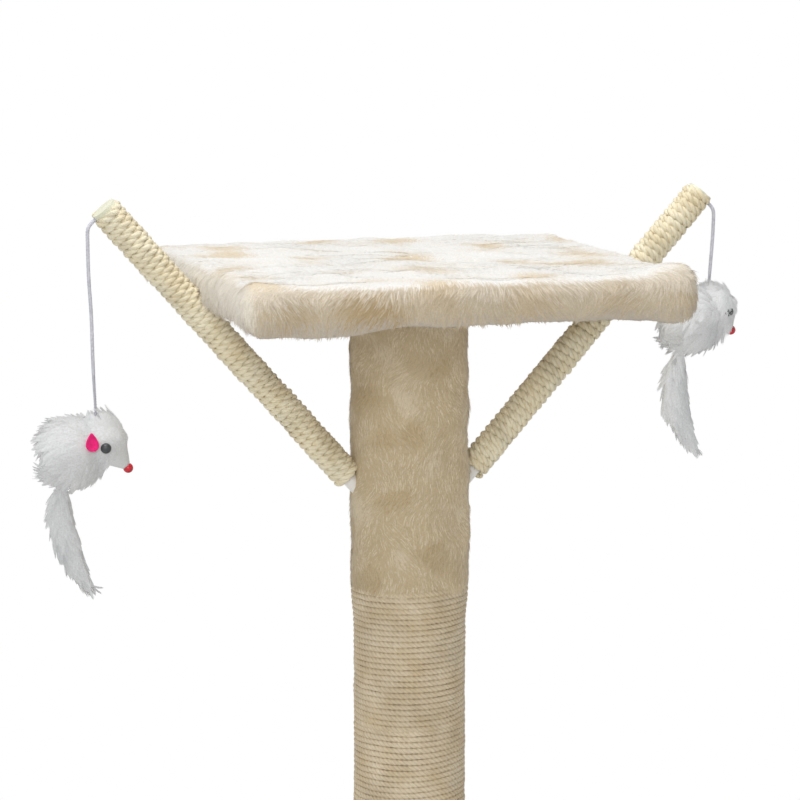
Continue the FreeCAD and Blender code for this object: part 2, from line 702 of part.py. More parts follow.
top_cover_blank = slab("platform_cover_blank", size("platform_side") + top_plush * 2,
                       size("platform_corner") + top_plush, size("platform_board_thickness") + top_plush * 2,
                       platform_under, size("platform_edge_round"), size("platform_under_round"))
top_board_space = slab("platform_board_space", size("platform_side") + wrap_gap * 2,
                       size("platform_corner") + wrap_gap, size("platform_board_thickness"), tube_top)
panel_side = size("platform_side") - size("hem_width") * 2
panel_opening = slab("platform_hem_opening", panel_side, size("platform_corner"), top_plush, platform_under)
dents = []
for side, side_name in SIDE_NAMES.items():
    dent = cylinder(f"{side_name}_cover_dent", dent_reach * 2, branch_end(side_name) - winding_start)
    dents.append(on_branch(dent, side, winding_start))
node(cut("platform_plush_cover", top_cover_blank, top_board_space, panel_opening, *dents),
     "platform_plush_cover")
panel_blank = slab("platform_panel_blank", panel_side - wrap_gap * 2, size("platform_corner"), top_plush,
                   platform_under)
panel_hole = put(cylinder("platform_panel_hole", tube_hole, top_plush), z=platform_under)
node(cut("platform_underside_plush", panel_blank, panel_hole), "platform_underside_plush")
hem_staples("platform_staples", "platform_side", platform_under + size("staple_wire"))

tee_flange = put(cylinder("tee_flange", size("tee_flange_diameter"), size("tee_flange_thickness")),
                 z=tee_recess_level)
tee_barrel = put(cylinder("tee_barrel", size("tee_barrel_diameter"), size("tee_barrel_length")),
                 z=tee_recess_level - size("tee_barrel_length"))
tee_bore = put(cylinder("tee_bore", insert_bore, size("tee_barrel_length") + size("tee_flange_thickness")),
               z=tee_recess_level - size("tee_barrel_length"))
node(cut("platform_tee_nut", fuse("tee_nut_blank", tee_flange, tee_barrel), tee_bore), "platform_tee_nut")
stud_level = tube_top - size("bolt_reach")
stud = cylinder("platform_stud", size("bolt_diameter"), platform_board_top - stud_level)
node(put(stud, z=stud_level), "platform_stud")

# Branches
rod_bore = size("rod_diameter") - size("rod_wall") * 2
branch_rope_radius = size("rod_diameter") / 2 + size("rope_seat") + size("branch_rope_diameter") / 2
string_hole = size("string_diameter") + size("string_hole_gap") * 2


def radial_cylinder(name, side, diameter, reach):
    """A cylinder from the branch's axis out through the lower rim of its end plug."""
    item = cylinder(name, diameter, reach)
    turn = FreeCAD.Rotation(Y_DIRECTION, side * (angle.value + 90))
    item.Placement = FreeCAD.Placement(FreeCAD.Vector(), turn)
    along = flange_middle(SIDE_NAMES[side])
    return put(item, x=along * sine(angle) * side, z=crossing + along * cosine(angle))


def branch(side, side_name):
    """Rod, rope lengths, end plug and the inner end of the toy's cord."""
    rod_end = branch_end(side_name)
    cord_corner = flange_middle(side_name)
    rod_length = rod_end - size("branch_inset")
    outside = on_branch(cylinder(f"{side_name}_rod_outside", size("rod_diameter"), rod_length),
                        side, size("branch_inset"))
    inside = cylinder(f"{side_name}_rod_inside", rod_bore, rod_length)
    on_branch(inside, side, size("branch_inset"))
    node(cut(f"{side_name}_branch_rod", outside, inside), f"{side_name}_branch_rod")

    along = winding_start.value
    for rope_name in BRANCH_ROPES:
        label = f"{side_name}_branch_rope_{rope_name}"
        turns = count_of(f"{side_name}_{rope_name}_turns")
        rope = winding(label, branch_rope_radius.value, number_of("branch_rope_diameter"),
                       branch_pitch.value, turns)
        turn = FreeCAD.Rotation(Y_DIRECTION, side * angle.value)
        if side == LEFT:
            turn = turn.multiply(FreeCAD.Rotation(UP, 180))
        node(plain_feature(label, rope, FreeCAD.Placement(branch_point(side, along), turn)), label)
        along += turns * branch_pitch.value
        along += number_of("branch_rope_diameter") + number_of("branch_length_gap")

    spigot_level = rod_end - size("tip_spigot_length")
    spigot = on_branch(cylinder(f"{side_name}_spigot", rod_bore - size("socket_gap") * 2,
                                size("tip_spigot_length")), side, spigot_level)
    flange = on_branch(cylinder(f"{side_name}_flange", size("tip_flange_diameter"),
                                size("tip_flange_thickness")), side, rod_end)
    inner_hole = on_branch(cylinder(f"{side_name}_inner_hole", string_hole,
                                    cord_corner - spigot_level), side, spigot_level)
    corner_hole = on_branch(sphere(f"{side_name}_corner_hole", string_hole / 2), side, cord_corner)
    side_hole = radial_cylinder(f"{side_name}_side_hole", side, string_hole, size("tip_flange_diameter"))
    plug = fuse(f"{side_name}_plug_blank", spigot, flange)
    node(cut(f"{side_name}_tip_plug", plug, inner_hole, corner_hole, side_hole), f"{side_name}_tip_plug")

    knot_level = spigot_level - size("anchor_knot_diameter") / 2 - size("socket_gap")
    knot = on_branch(sphere(f"{side_name}_anchor_ball", size("anchor_knot_diameter") / 2), side, knot_level)
    inner_cord = on_branch(cylinder(f"{side_name}_anchor_cord", size("string_diameter"),
                                    cord_corner - knot_level), side, knot_level)
    corner_cord = sphere(f"{side_name}_anchor_corner", size("string_diameter") / 2)
    on_branch(corner_cord, side, cord_corner)
    side_cord = radial_cylinder(f"{side_name}_anchor_side", side, size("string_diameter"),
                                size("tip_flange_diameter") / 2)
    anchor = fuse(f"{side_name}_string_anchor", knot, inner_cord, corner_cord, side_cord)
    node(anchor, f"{side_name}_string_anchor")


for side, side_name in SIDE_NAMES.items():
    branch(side, side_name)


# Toys
def string_route(side, side_name, drop):
    """The bend at the branch tip, and the free drop that hangs from it."""
    run = number_of("string_bend_run")
    link = number_of("string_diameter") / 2 + number_of("string_link_gap")
    out = number_of("tip_flange_diameter") / 2 + link
    bend = [branch_point(side, flange_middle(side_name).value, out)]
    slope = angle.value
    for dip in (slope, (slope + 90) / 2, 90):
        turn = math.radians(dip)
        bend.append(bend[-1] + FreeCAD.Vector(side * run * math.cos(turn), 0, -run * math.sin(turn)))
    top = bend[-1] - UP * link
    return bend, [top] + [top + FreeCAD.Vector(x, 0, -down) for x, down in drop]


def tail_shape():
    """A fur tail that hangs from the mouse's rump, about the tail's root."""
    sections = []
    for index in range(TAIL_SECTIONS):
        share = index / (TAIL_SECTIONS - 1)
        phase = TAIL_ROOT_PHASE + (TAIL_TIP_PHASE - TAIL_ROOT_PHASE) * share
        swell = math.sin(math.pi * phase) ** TAIL_FULLNESS
        x = number_of("tail_curl") * share**2 - number_of("tail_lean") * share
        centre = FreeCAD.Vector(x, 0, -number_of("tail_length") * share)
        half_width = number_of("tail_width") / 2 * swell
        half_thickness = number_of("tail_thickness") / 2 * swell
        ellipse = Part.Ellipse(centre, half_width, half_thickness)
        sections.append(Part.Wire([ellipse.toShape()]))
    return Part.makeLoft(sections, True)


def rump_depth():
    """How far the body's underside lies below the back, over the tail's root."""
    behind = number_of("tail_back") - number_of("mouse_rump_back")
    radius = number_of("mouse_rump_radius")
    return radius + math.sqrt(radius**2 - behind**2)


def ear_place():
    """An ear's place and outward direction on the body's tapering side, from the rump's centre."""
    taper = number_of("mouse_rump_radius") - number_of("mouse_chest_radius")
    lean = math.asin(taper / number_of("mouse_body_spacing"))
    along = number_of("ear_along")
    above = number_of("ear_above")
    radius = (number_of("mouse_rump_radius") - along * math.sin(lean)) / math.cos(lean)
    across = math.sqrt(radius**2 - above**2)
    steep = math.cos(lean) / radius
    outward = FreeCAD.Vector(math.sin(lean), across * steep, above * steep)
    tilt = FreeCAD.Rotation(Y_DIRECTION, -number_of("mouse_body_tilt"))
    spot = FreeCAD.Vector(along, across, above) + outward * number_of("ear_seat")
    return tilt.multVec(spot), tilt.multVec(outward)


def eye_reach():
    """The eyes' distance from the head's middle plane."""
    across = math.hypot(number_of("eye_forward"), number_of("eye_drop"))
    return math.sqrt(number_of("mouse_head_radius") ** 2 - across**2) - number_of("eye_sink")


def toy(side, side_name, drop):
    """A mouse on its cord: free cord, knot, body, head, ears, eyes, nose and tail."""
    diameter = number_of("string_diameter")
    bend, fall = string_route(side, side_name, drop)
    for label, points in ((f"{side_name}_string_bend", bend), (f"{side_name}_string_drop", fall)):
        node(plain_feature(label, cord_tube(label, points, diameter)), label)

    heading = FreeCAD.Rotation(UP, number_of(f"{side_name}_mouse_heading"))
    knot_radius = size("knot_diameter") / 2
    knot_centre = fall[-1] - UP * (knot_radius.value + number_of("knot_gap"))
    back = knot_centre + UP * (number_of("knot_depth") - number_of("knot_gap") - knot_radius.value)

    def place(item, forward, across, up, dip=0.0):
        spot = back + heading.multVec(FreeCAD.Vector(forward, across, up))
        item.Placement = FreeCAD.Placement(spot, heading.multiply(FreeCAD.Rotation(Y_DIRECTION, dip)))
        return item

    def name(part_name):
        return f"{side_name}_{part_name}"

    knot = sphere(name("knot_ball"), knot_radius)
    knot.Placement.Base = knot_centre
    node(knot, name("string_knot"))

    body = place(egg(name("body_egg"), size("mouse_rump_radius"), size("mouse_chest_radius"),
                     size("mouse_body_spacing")),
                 -number_of("mouse_rump_back"), 0, -number_of("mouse_rump_radius"),
                 -number_of("mouse_body_tilt"))
    pocket = place(cylinder(name("knot_pocket"), size("knot_diameter") + size("knot_gap") * 2,
                            size("knot_depth") * 2), 0, 0, -number_of("knot_depth"))
    node(cut(name("mouse_body"), body, pocket), name("mouse_body"))

    head = place(egg(name("head_egg"), size("mouse_head_radius"), size("mouse_snout_radius"),
                     size("mouse_head_spacing")),
                 number_of("mouse_head_forward"), 0, -number_of("mouse_head_drop"),
                 number_of("mouse_head_tilt"))
    node(cut(name("mouse_head"), head, body, pocket), name("mouse_head"))

    dip = math.radians(number_of("mouse_head_tilt"))
    snout = number_of("mouse_head_spacing") + number_of("mouse_snout_radius")
    nose_x = number_of("mouse_head_forward") + snout * math.cos(dip)
    nose_z = -number_of("mouse_head_drop") - snout * math.sin(dip)
    nose = place(sphere(name("nose_ball"), size("nose_radius")), nose_x, 0, nose_z)
    node(cut(name("mouse_nose"), nose, head), name("mouse_nose"))

    eyes = []
    ears = []
    ear_spot, ear_outward = ear_place()
    rump = FreeCAD.Vector(-number_of("mouse_rump_back"), 0, -number_of("mouse_rump_radius"))
    for cheek in (-1, 1):
        eye = place(sphere(name(f"eye_ball_{cheek + 1}"), size("eye_radius")),
                    number_of("mouse_head_forward") + number_of("eye_forward"), cheek * eye_reach(),
                    -number_of("mouse_head_drop") - number_of("eye_drop"))
        eyes.append(cut(name(f"eye_{cheek + 1}"), eye, head))
        outline = doc.addObject("Part::Ellipse", name(f"ear_outline_{cheek + 1}"))
        bind(outline, MajorRadius=size("ear_length") / 2, MinorRadius=size("ear_width") / 2)
        ear = doc.addObject("Part::Extrusion", name(f"ear_{cheek + 1}"))
        ear.Base = outline
        ear.DirMode = "Custom"
        ear.Solid = True
        bind(ear, LengthFwd=size("ear_thickness"))
        spot = rump + FreeCAD.Vector(ear_spot.x, cheek * ear_spot.y, ear_spot.z)
        outward = FreeCAD.Vector(ear_outward.x, cheek * ear_outward.y, ear_outward.z)
        upright = FreeCAD.Rotation(UP, FreeCAD.Vector(), outward, "ZXY")
        outline.Placement = FreeCAD.Placement(back + heading.multVec(spot), heading.multiply(upright))
        ear.Dir = heading.multVec(outward)
        ears.append(cut(name(f"ear_trim_{cheek + 1}"), ear, head))
    node(group(name("mouse_eyes"), *eyes), name("mouse_eyes"))
    node(group(name("mouse_ears"), *ears), name("mouse_ears"))

    root_depth = rump_depth() + number_of("tail_seat")
    tail_root = back + heading.multVec(FreeCAD.Vector(-number_of("tail_back"), 0, -root_depth))
    tail = plain_feature(name("mouse_tail"), tail_shape(), FreeCAD.Placement(tail_root, heading))
    node(tail, name("mouse_tail"))
    joint_points = {"cord exit": bend[0], "drop top": fall[0], "knot": knot_centre, "tail root": tail_root}
    for title, spot in joint_points.items():
        print(f"{side_name} {title}: {spot.x:.3f} {spot.y:.3f} {spot.z:.3f}")


toy(LEFT, "left", LEFT_STRING_DROP)
toy(RIGHT, "right", RIGHT_STRING_DROP)

doc.recompute()
for item in doc.Objects:
    if "Invalid" in item.State or "Error" in item.State:
        raise RuntimeError(f"{item.Label} failed: {item.State}")
for item in nodes:
    if item.Shape.isNull() or not item.Shape.isValid() or not item.Shape.Solids:
        raise RuntimeError(f"{item.Label} has no valid solid")

os.makedirs("parts", exist_ok=True)
for item in nodes:
    item.Shape.exportStep(f"parts/{item.Label}.step")
print(f"{len(nodes)} nodes")
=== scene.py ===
import json
import math

import bpy
import numpy as np
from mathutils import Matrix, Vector
from mathutils.kdtree import KDTree


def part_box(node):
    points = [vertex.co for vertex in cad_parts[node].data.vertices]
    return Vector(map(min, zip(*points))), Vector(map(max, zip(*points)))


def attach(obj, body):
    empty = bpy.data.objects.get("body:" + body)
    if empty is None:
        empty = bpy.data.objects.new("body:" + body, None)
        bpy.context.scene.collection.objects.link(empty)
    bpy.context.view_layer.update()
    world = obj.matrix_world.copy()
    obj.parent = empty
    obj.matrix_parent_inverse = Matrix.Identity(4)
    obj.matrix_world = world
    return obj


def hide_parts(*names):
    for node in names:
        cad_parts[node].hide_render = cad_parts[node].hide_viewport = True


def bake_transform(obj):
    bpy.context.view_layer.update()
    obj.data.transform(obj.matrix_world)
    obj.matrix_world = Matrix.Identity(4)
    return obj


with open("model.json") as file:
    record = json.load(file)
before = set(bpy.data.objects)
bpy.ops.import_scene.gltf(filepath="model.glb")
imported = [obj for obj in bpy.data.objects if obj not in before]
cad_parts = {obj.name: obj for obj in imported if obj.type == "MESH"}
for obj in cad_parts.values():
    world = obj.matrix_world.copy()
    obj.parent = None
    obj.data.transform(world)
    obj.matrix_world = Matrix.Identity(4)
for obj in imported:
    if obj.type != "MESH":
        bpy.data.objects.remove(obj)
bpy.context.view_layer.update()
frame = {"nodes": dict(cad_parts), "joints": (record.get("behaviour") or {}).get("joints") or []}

NODES = frame["nodes"]
JOINTS = {joint["name"]: joint for joint in frame["joints"]}
SIDES = (("left", -1), ("right", 1))
MM = 0.001
UP = np.array((0.0, 0.0, 1.0))
WELD_REACH = 1e-5


def half_and_heights(node):
    """Half a node's width about the post's axis, its lowest and its highest point, to 0.01 mm."""
    low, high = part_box(node)
    return round(high.x, 5), round(low.z, 5), round(high.z, 5)


# Sizes of the CAD model that the skins, ropes and fur keep to, in metres
PLATFORM_HALF, PLATFORM_LOW, PLATFORM_TOP = half_and_heights("platform_plush_cover")
BASE_HALF, BASE_LOW, BASE_TOP = half_and_heights("base_plush_cover")
SLEEVE_RADIUS, SLEEVE_LOW, _ = half_and_heights("post_plush_sleeve")
TUBE_RADIUS, _, _ = half_and_heights("post_tube")
PLATFORM_CORNER, BASE_CORNER = 0.016, 0.0355
CROSSING = np.array((0.0, 0.0, 0.455876))
BRANCH_ANGLE = math.radians(41.7)
BRANCH_REACH, DENT_REACH = 0.01105, 0.01165
WINDING_START, BRANCH_END = 0.06682, 0.32177
ROD_REACH, ROD_START = 0.0064, 0.03
POST_CLEAR = 0.0425


# Camera at the photograph's viewing angle

CAMERA_AZIMUTH, CAMERA_ELEVATION = math.radians(-16.83), math.radians(8.85)
CAMERA_DISTANCE, CAMERA_LENS, CAMERA_SENSOR, CAMERA_REACH = 2.2598, 144.77, 36, 60
AIM_RIGHT, AIM_HEIGHT = -0.00669, 0.5582


def link_facing(data, place, back):
    """A camera or lamp at a place, looking the opposite way to a vector."""
    made = bpy.data.objects.new(data.name, data)
    made.location = place
    made.rotation_mode = "QUATERNION"
    made.rotation_quaternion = back.to_track_quat("Z", "Y")
    bpy.context.scene.collection.objects.link(made)
    return made


def make_camera():
    level = math.cos(CAMERA_ELEVATION)
    right = Vector((math.cos(CAMERA_AZIMUTH), math.sin(CAMERA_AZIMUTH), 0))
    back = Vector((math.sin(CAMERA_AZIMUTH) * level, -math.cos(CAMERA_AZIMUTH) * level,
                   math.sin(CAMERA_ELEVATION)))
    data = bpy.data.cameras.new("photo_camera")
    data.lens, data.sensor_width, data.clip_end = CAMERA_LENS, CAMERA_SENSOR, CAMERA_REACH
    place = right * AIM_RIGHT + Vector((0, 0, AIM_HEIGHT)) + back * CAMERA_DISTANCE
    bpy.context.scene.camera = link_facing(data, place, back)


# Numbers and meshes

def unit(vectors):
    return vectors / np.maximum(np.linalg.norm(vectors, axis=-1, keepdims=True), 1e-12)


def smooth_step(low, high, value):
    share = np.clip((value - low) / (high - low), 0, 1)
    return share * share * (3 - 2 * share)


def waves(points, scale, seed, count=22):
    """Smooth noise of about unit size, from plane waves about one scale long."""
    rng = np.random.default_rng(seed)
    directions = unit(rng.normal(size=(count, points.shape[1])))
    lengths = scale * rng.uniform(0.6, 1.7, count)
    phases = rng.uniform(0, math.tau, count)
    swings = np.sin(points @ (directions / lengths[:, None]).T * math.tau + phases)
    return swings.sum(1) * math.sqrt(2 / count)


def linear(red, green, blue):
    """Linear colour of an sRGB one given in 0 to 255."""
    value = np.array((red, green, blue)) / 255
    return np.where(value <= 0.04045, value / 12.92, ((value + 0.055) / 1.055) ** 2.4)


def mix(first, second, share):
    share = np.asarray(share)[..., None]
    return first * (1 - share) + second * share


def mesh_object(name, points, face_groups, material):
    """Smooth mesh object from an array of points and arrays of faces, each with faces of one size."""
    mesh = bpy.data.meshes.new(name)
    loops = np.concatenate([np.asarray(group, np.int32).ravel() for group in face_groups])
    sizes = np.concatenate([np.full(len(group), group.shape[1], np.int32) for group in face_groups])
    starts = np.concatenate([[0], np.cumsum(sizes)[:-1]]).astype(np.int32)
    mesh.vertices.add(len(points))
    mesh.vertices.foreach_set("co", np.asarray(points, np.float32).ravel())
    mesh.loops.add(len(loops))
    mesh.loops.foreach_set("vertex_index", loops)
    mesh.polygons.add(len(sizes))
    mesh.polygons.foreach_set("loop_start", starts)
    mesh.update(calc_edges=True)
    mesh.shade_smooth()
    mesh.materials.append(material)
    made = bpy.data.objects.new(name, mesh)
    bpy.context.scene.collection.objects.link(made)
    return made


def set_tint(obj, colours):
    """Colour of each vertex, which the material reads as Tint."""
    attribute = obj.data.attributes.new("Tint", "FLOAT_COLOR", "POINT")
    rgba = np.ones((len(colours), 4), np.float32)
    rgba[:, :3] = colours
    attribute.data.foreach_set("color", rgba.ravel())


def set_uv(obj, name, corner_uv):
    layer = obj.data.uv_layers.new(name=name)
    layer.uv.foreach_set("vector", np.asarray(corner_uv, np.float32).ravel())


def read(items, attribute, width, kind):
    """An attribute of a mesh's items, in rows of so many numbers."""
    values = np.zeros(width * len(items), kind)
    items.foreach_get(attribute, values)
    return values.reshape(-1, width)


def run_along(points):
    """Distance run along a line at each of its points."""
    return np.concatenate([[0], np.cumsum(np.linalg.norm(np.diff(points, axis=0), axis=1))])


def nearest(cloud, places):
    """For each place, which point of a cloud is nearest to it, and how far off that is."""
    tree = KDTree(len(cloud))
    for index, point in enumerate(cloud):
        tree.insert(point, index)
    tree.balance()
    _, indices, distances = zip(*(tree.find(place) for place in places))
    return np.array(indices), np.array(distances)


def triangles_of(faces):
    if faces.shape[1] == 3:
        return faces
    return np.concatenate([faces[:, [0, 1, 2]], faces[:, [0, 2, 3]]])


def vertex_normals(points, faces):
    corners = triangles_of(faces)
    a, b, c = (points[corners[:, i]] for i in range(3))
    facing = np.cross(b - a, c - a)
    normals = np.zeros_like(points)
    for i in range(3):
        np.add.at(normals, corners[:, i], facing)
    return unit(normals)


def ring_faces(rows, columns):
    """Quads between closed rings, facing outwards when the rings go from the top down, anticlockwise."""
    row = np.arange(rows - 1)[:, None] * columns
    here = np.arange(columns)[None]
    following = (here + 1) % columns
    quads = np.stack([row + here, row + columns + here, row + columns + following, row + following], -1)
    return quads.reshape(-1, 4)


def square_ring(half, corner, straight=60, bend=12):
    """Points round a round-cornered square about the Z axis, anticlockwise."""
    reach = half - corner
    along = np.linspace(-reach, reach, straight, endpoint=False)
    sweep = np.linspace(0, math.pi / 2, bend, endpoint=False)
    side = np.concatenate([
        np.stack([np.full(straight, half), along], 1),
        np.stack([reach + corner * np.cos(sweep), reach + corner * np.sin(sweep)], 1)])
    turned = []
    for _ in range(4):
        turned.append(side)
        side = np.stack([-side[:, 1], side[:, 0]], 1)
    return np.concatenate(turned)


def square_skin(half, corner, profile):
    """Points and faces of a skin whose rings are round-cornered squares, each with its inset and height."""
    rings = []
    for inset, height in profile:
        flat = square_ring(half - inset, max(corner - inset, 0.004 * (half - inset) / half))
        rings.append(np.column_stack([flat, np.full(len(flat), height)]))
    return np.concatenate(rings), ring_faces(len(rings), len(rings[0]))


def closed_top(points, faces, columns):
    """The same skin with its innermost ring, at the top, closed by a fan of triangles."""
    here = np.arange(columns)
    fan = np.stack([np.full(columns, len(points)), here, (here + 1) % columns], 1)
    return np.concatenate([points, points[:columns].mean(0, keepdims=True)]), [faces, fan]


def arc_profile(radius, start_inset, start_height, upper):
    """Insets and heights round an edge of that radius, from a flat face to a side or back."""
    sweep = np.linspace(0, math.pi / 2, 7)
    if upper:
        return [(start_inset - radius * math.sin(a), start_height - radius * (1 - math.cos(a)))
                for a in sweep]
    return [(start_inset + radius * (1 - math.cos(a)), start_height - radius * math.sin(a)) for a in sweep]


def joint_point(side_name, joint):
    return np.array(JOINTS[f"{side_name}_{joint}"]["pos_m"])


def branch_direction(side):
    return np.array((side * math.sin(BRANCH_ANGLE), 0, math.cos(BRANCH_ANGLE)))


def branch_distance(points, side):
    """Distance along a branch's axis and from it, for points in rows."""
    direction = branch_direction(side)
    offset = points - CROSSING
    along = offset @ direction
    return along, np.linalg.norm(offset - along[..., None] * direction, axis=-1)


# Materials

def new_material(name, roughness, sheen=0.0):
    material = bpy.data.materials.new(name)
    material.use_nodes = True
    shader = material.node_tree.nodes["Principled BSDF"]
    shader.inputs["Roughness"].default_value = roughness
    shader.inputs["Sheen Weight"].default_value = sheen
    shader.inputs["Sheen Roughness"].default_value = 0.4
    return material, material.node_tree, shader


def add_node(tree, kind, inputs=(), **settings):
    node = tree.nodes.new(kind)
    for key, value in settings.items():
        setattr(node, key, value)
    for key, value in dict(inputs).items():
        if isinstance(value, bpy.types.NodeSocket):
            tree.links.new(value, node.inputs[key])
        else:
            node.inputs[key].default_value = value
    return node


def noise(tree, vector, scale, detail=4.0, roughness=0.55):
    inputs = {"Vector": vector, "Scale": scale, "Detail": detail, "Roughness": roughness}
    return add_node(tree, "ShaderNodeTexNoise", inputs).outputs["Fac"]


def ramp(tree, value, stops):
    """Colour from a value, through stops of (place, sRGB colour)."""
    node = add_node(tree, "ShaderNodeValToRGB", {"Fac": value})
    elements = node.color_ramp.elements
    while len(elements) < len(stops):
        elements.new(0.5)
    for element, (place, colour) in zip(elements, stops):
        element.position = place
        element.color = (*linear(*colour), 1)
    return node.outputs["Color"]


def multiply(tree, first, second):
    inputs = {0: 1.0, 6: first, 7: second}
    return add_node(tree, "ShaderNodeMix", inputs, data_type="RGBA", blend_type="MULTIPLY").outputs[2]


def compute(tree, operation, first, second):
    inputs = {0: first, 1: second}
    return add_node(tree, "ShaderNodeMath", inputs, operation=operation).outputs["Value"]


def paint(tree, shader, colour):
    tree.links.new(colour, shader.inputs["Base Color"])


def tint_of(tree):
    """The Tint that set_tint gave each vertex."""
    return add_node(tree, "ShaderNodeAttribute", attribute_name="Tint").outputs["Color"]


def bump(tree, shader, height, strength, distance):
    inputs = {"Height": height, "Strength": strength, "Distance": distance}
    tree.links.new(add_node(tree, "ShaderNodeBump", inputs).outputs["Normal"], shader.inputs["Normal"])


def object_coordinates(tree):
    return add_node(tree, "ShaderNodeTexCoord").outputs["Object"]


def stretched(tree, vector, scale):
    return add_node(tree, "ShaderNodeMapping", {"Vector": vector, "Scale": scale}).outputs["Vector"]


def fur_material(name, sheen, roughness=0.75):
    """Hair: the strand's tint, which carries the painted shade at its root, with fine streaks of lighter and
    darker fibre.
    """
    material, tree, shader = new_material(name, roughness, sheen)
    shader.inputs["Specular IOR Level"].default_value = 0.0
    fine = noise(tree, object_coordinates(tree), 900, 3)
    streak = ramp(tree, fine, ((0.25, (232, 230, 226)), (0.7, (255, 255, 255))))
    paint(tree, shader, multiply(tree, tint_of(tree), streak))
    return material


def backing_material(name):
    """Woven backing that the pile grows from, coloured to match it, the covers' painted hem shade included.
    """
    material, tree, shader = new_material(name, 0.9, 0.2)
    shader.inputs["Specular IOR Level"].default_value = 0.0
    where = object_coordinates(tree)
    broad, fine = noise(tree, where, 40, 4), noise(tree, where, 1400, 2)
    cast = ramp(tree, broad, ((0.3, (244, 242, 238)), (0.7, (255, 255, 255))))
    grain = ramp(tree, fine, ((0.3, (238, 237, 235)), (0.7, (255, 255, 255))))
    dyed = multiply(tree, tint_of(tree), cast)
    paint(tree, shader, multiply(tree, dyed, grain))
    bump(tree, shader, fine, 0.6, 0.0006)
    return material


def sisal_material(name, dark, middle, pale):
    """Sisal: long fibres along the rope, read from its own UV, and blotches from the ball it came from."""
    material, tree, shader = new_material(name, 0.72, 0.15)
    run = add_node(tree, "ShaderNodeUVMap", uv_map="Fibre").outputs["UV"]
    fibres = noise(tree, stretched(tree, run, (90, 2600, 1)), 1.0, 5, 0.65)
    blotches = noise(tree, object_coordinates(tree), 55, 3)
    base = ramp(tree, fibres, ((0.28, dark), (0.5, middle), (0.72, pale)))
    cast = ramp(tree, blotches, ((0.3, (240, 233, 218)), (0.65, (255, 254, 251))))
    coloured = multiply(tree, base, cast)
    # The Tint carries the rope's painted shade: darker in its grooves and on its strands' inner sides.
    paint(tree, shader, multiply(tree, coloured, tint_of(tree)))
    bump(tree, shader, fibres, 0.7, 0.0005)
    return material


def mottled_material(name, roughness, dark, pale, scale, grain, depth, middle=(), stretch=(1, 1, 1),
                     metal=0.0, sheen=0.0):
    """Plain stuff with its own grain: plastic, wood, cardboard, felt, steel, beads."""
    material, tree, shader = new_material(name, roughness, sheen)
    shader.inputs["Metallic"].default_value = metal
    where = stretched(tree, object_coordinates(tree), stretch)
    broad, fine = noise(tree, where, scale, 5), noise(tree, where, grain, 3)
    stops = ((0.3, dark), *middle, (0.7, pale))
    paint(tree, shader, ramp(tree, broad, stops))
    worn = add_node(tree, "ShaderNodeMapRange", {
        "Value": fine, "From Min": 0.3, "From Max": 0.7,
        "To Min": max(roughness - 0.12, 0.04), "To Max": min(roughness + 0.1, 1)})
    tree.links.new(worn.outputs["Result"], shader.inputs["Roughness"])
    bump(tree, shader, fine, 0.35, depth)
    return material


def board_material(name):
    """Pressed wood chips."""
    material, tree, shader = new_material(name, 0.8)
    where = object_coordinates(tree)
    chips = add_node(tree, "ShaderNodeTexVoronoi", {"Vector": where, "Scale": 420, "Randomness": 1})
    stops = ((0.2, (158, 122, 80)), (0.55, (192, 156, 110)), (0.85, (214, 184, 140)))
    paint(tree, shader, ramp(tree, chips.outputs["Color"], stops))
    bump(tree, shader, chips.outputs["Distance"], 0.4, 0.0004)
    return material


CREAM_FUR = fur_material("cream_plush_fur", 0.3)
BEIGE_FUR = fur_material("beige_plush_fur", 0.3)
WHITE_FUR = fur_material("white_toy_fur", 0.25)
CREAM_BACKING = backing_material("cream_plush_backing")
BEIGE_BACKING = backing_material("beige_plush_backing")
WHITE_BACKING = backing_material("white_toy_backing")
SISAL = sisal_material("sisal_rope", (206, 188, 158), (226, 211, 185), (240, 231, 212))
PALE_SISAL = sisal_material("pale_sisal_rope", (222, 209, 174), (242, 234, 209), (251, 248, 237))
# For each slot: name, roughness, dark and pale colour, scales of mottling and grain, and the grain's depth
STUFFS = {
    "cord": ("grey_cord", 0.7, (186, 186, 197), (216, 216, 224), 500, 2600, 0.0004),
    "white_plastic": ("white_plastic", 0.38, (222, 220, 215), (236, 234, 230), 60, 900, 0.0001),
    "cream_plastic": ("cream_plastic", 0.42, (212, 212, 186), (226, 226, 204), 70, 800, 0.0002),
    "pink_felt": ("pink_felt", 0.85, (206, 0, 96), (242, 22, 128), 500, 2200, 0.0005),
    "black_bead": ("black_bead", 0.42, (40, 44, 46), (66, 70, 72), 120, 900, 0.00003),
    "red_bead": ("red_bead", 0.18, (168, 10, 28), (206, 26, 46), 120, 900, 0.00004),
    "cardboard": ("cardboard_tube", 0.85, (140, 108, 72), (176, 142, 102), 30, 700, 0.0004),
    "pine": ("pine_wood", 0.6, (190, 148, 96), (226, 194, 144), 26, 500, 0.0003),
    "felt": ("felt_pads", 0.95, (58, 56, 54), (92, 90, 86), 400, 2400, 0.0006),
    "steel": ("steel_fittings", 0.34, (150, 150, 154), (188, 188, 192), 200, 1200, 0.0001),
}
STUFF_EXTRAS = {
    "pink_felt": {"sheen": 0.3},
    "cardboard": {"stretch": (1, 1, 4)},
    "pine": {"stretch": (1, 6, 6), "middle": ((0.55, (216, 178, 124)),)},
    "felt": {"sheen": 0.2},
    "steel": {"stretch": (1, 1, 9), "metal": 1.0},
}
NODE_MATERIALS = {slot: mottled_material(*row, **STUFF_EXTRAS.get(slot, {})) for slot, row in STUFFS.items()}
NODE_MATERIALS["particle_board"] = board_material("particle_board")
CORD, PINK_FELT = NODE_MATERIALS["cord"], NODE_MATERIALS["pink_felt"]


# Cords

TUBE_SIDES, FIBRE_STRIP = 12, 0.8 * MM


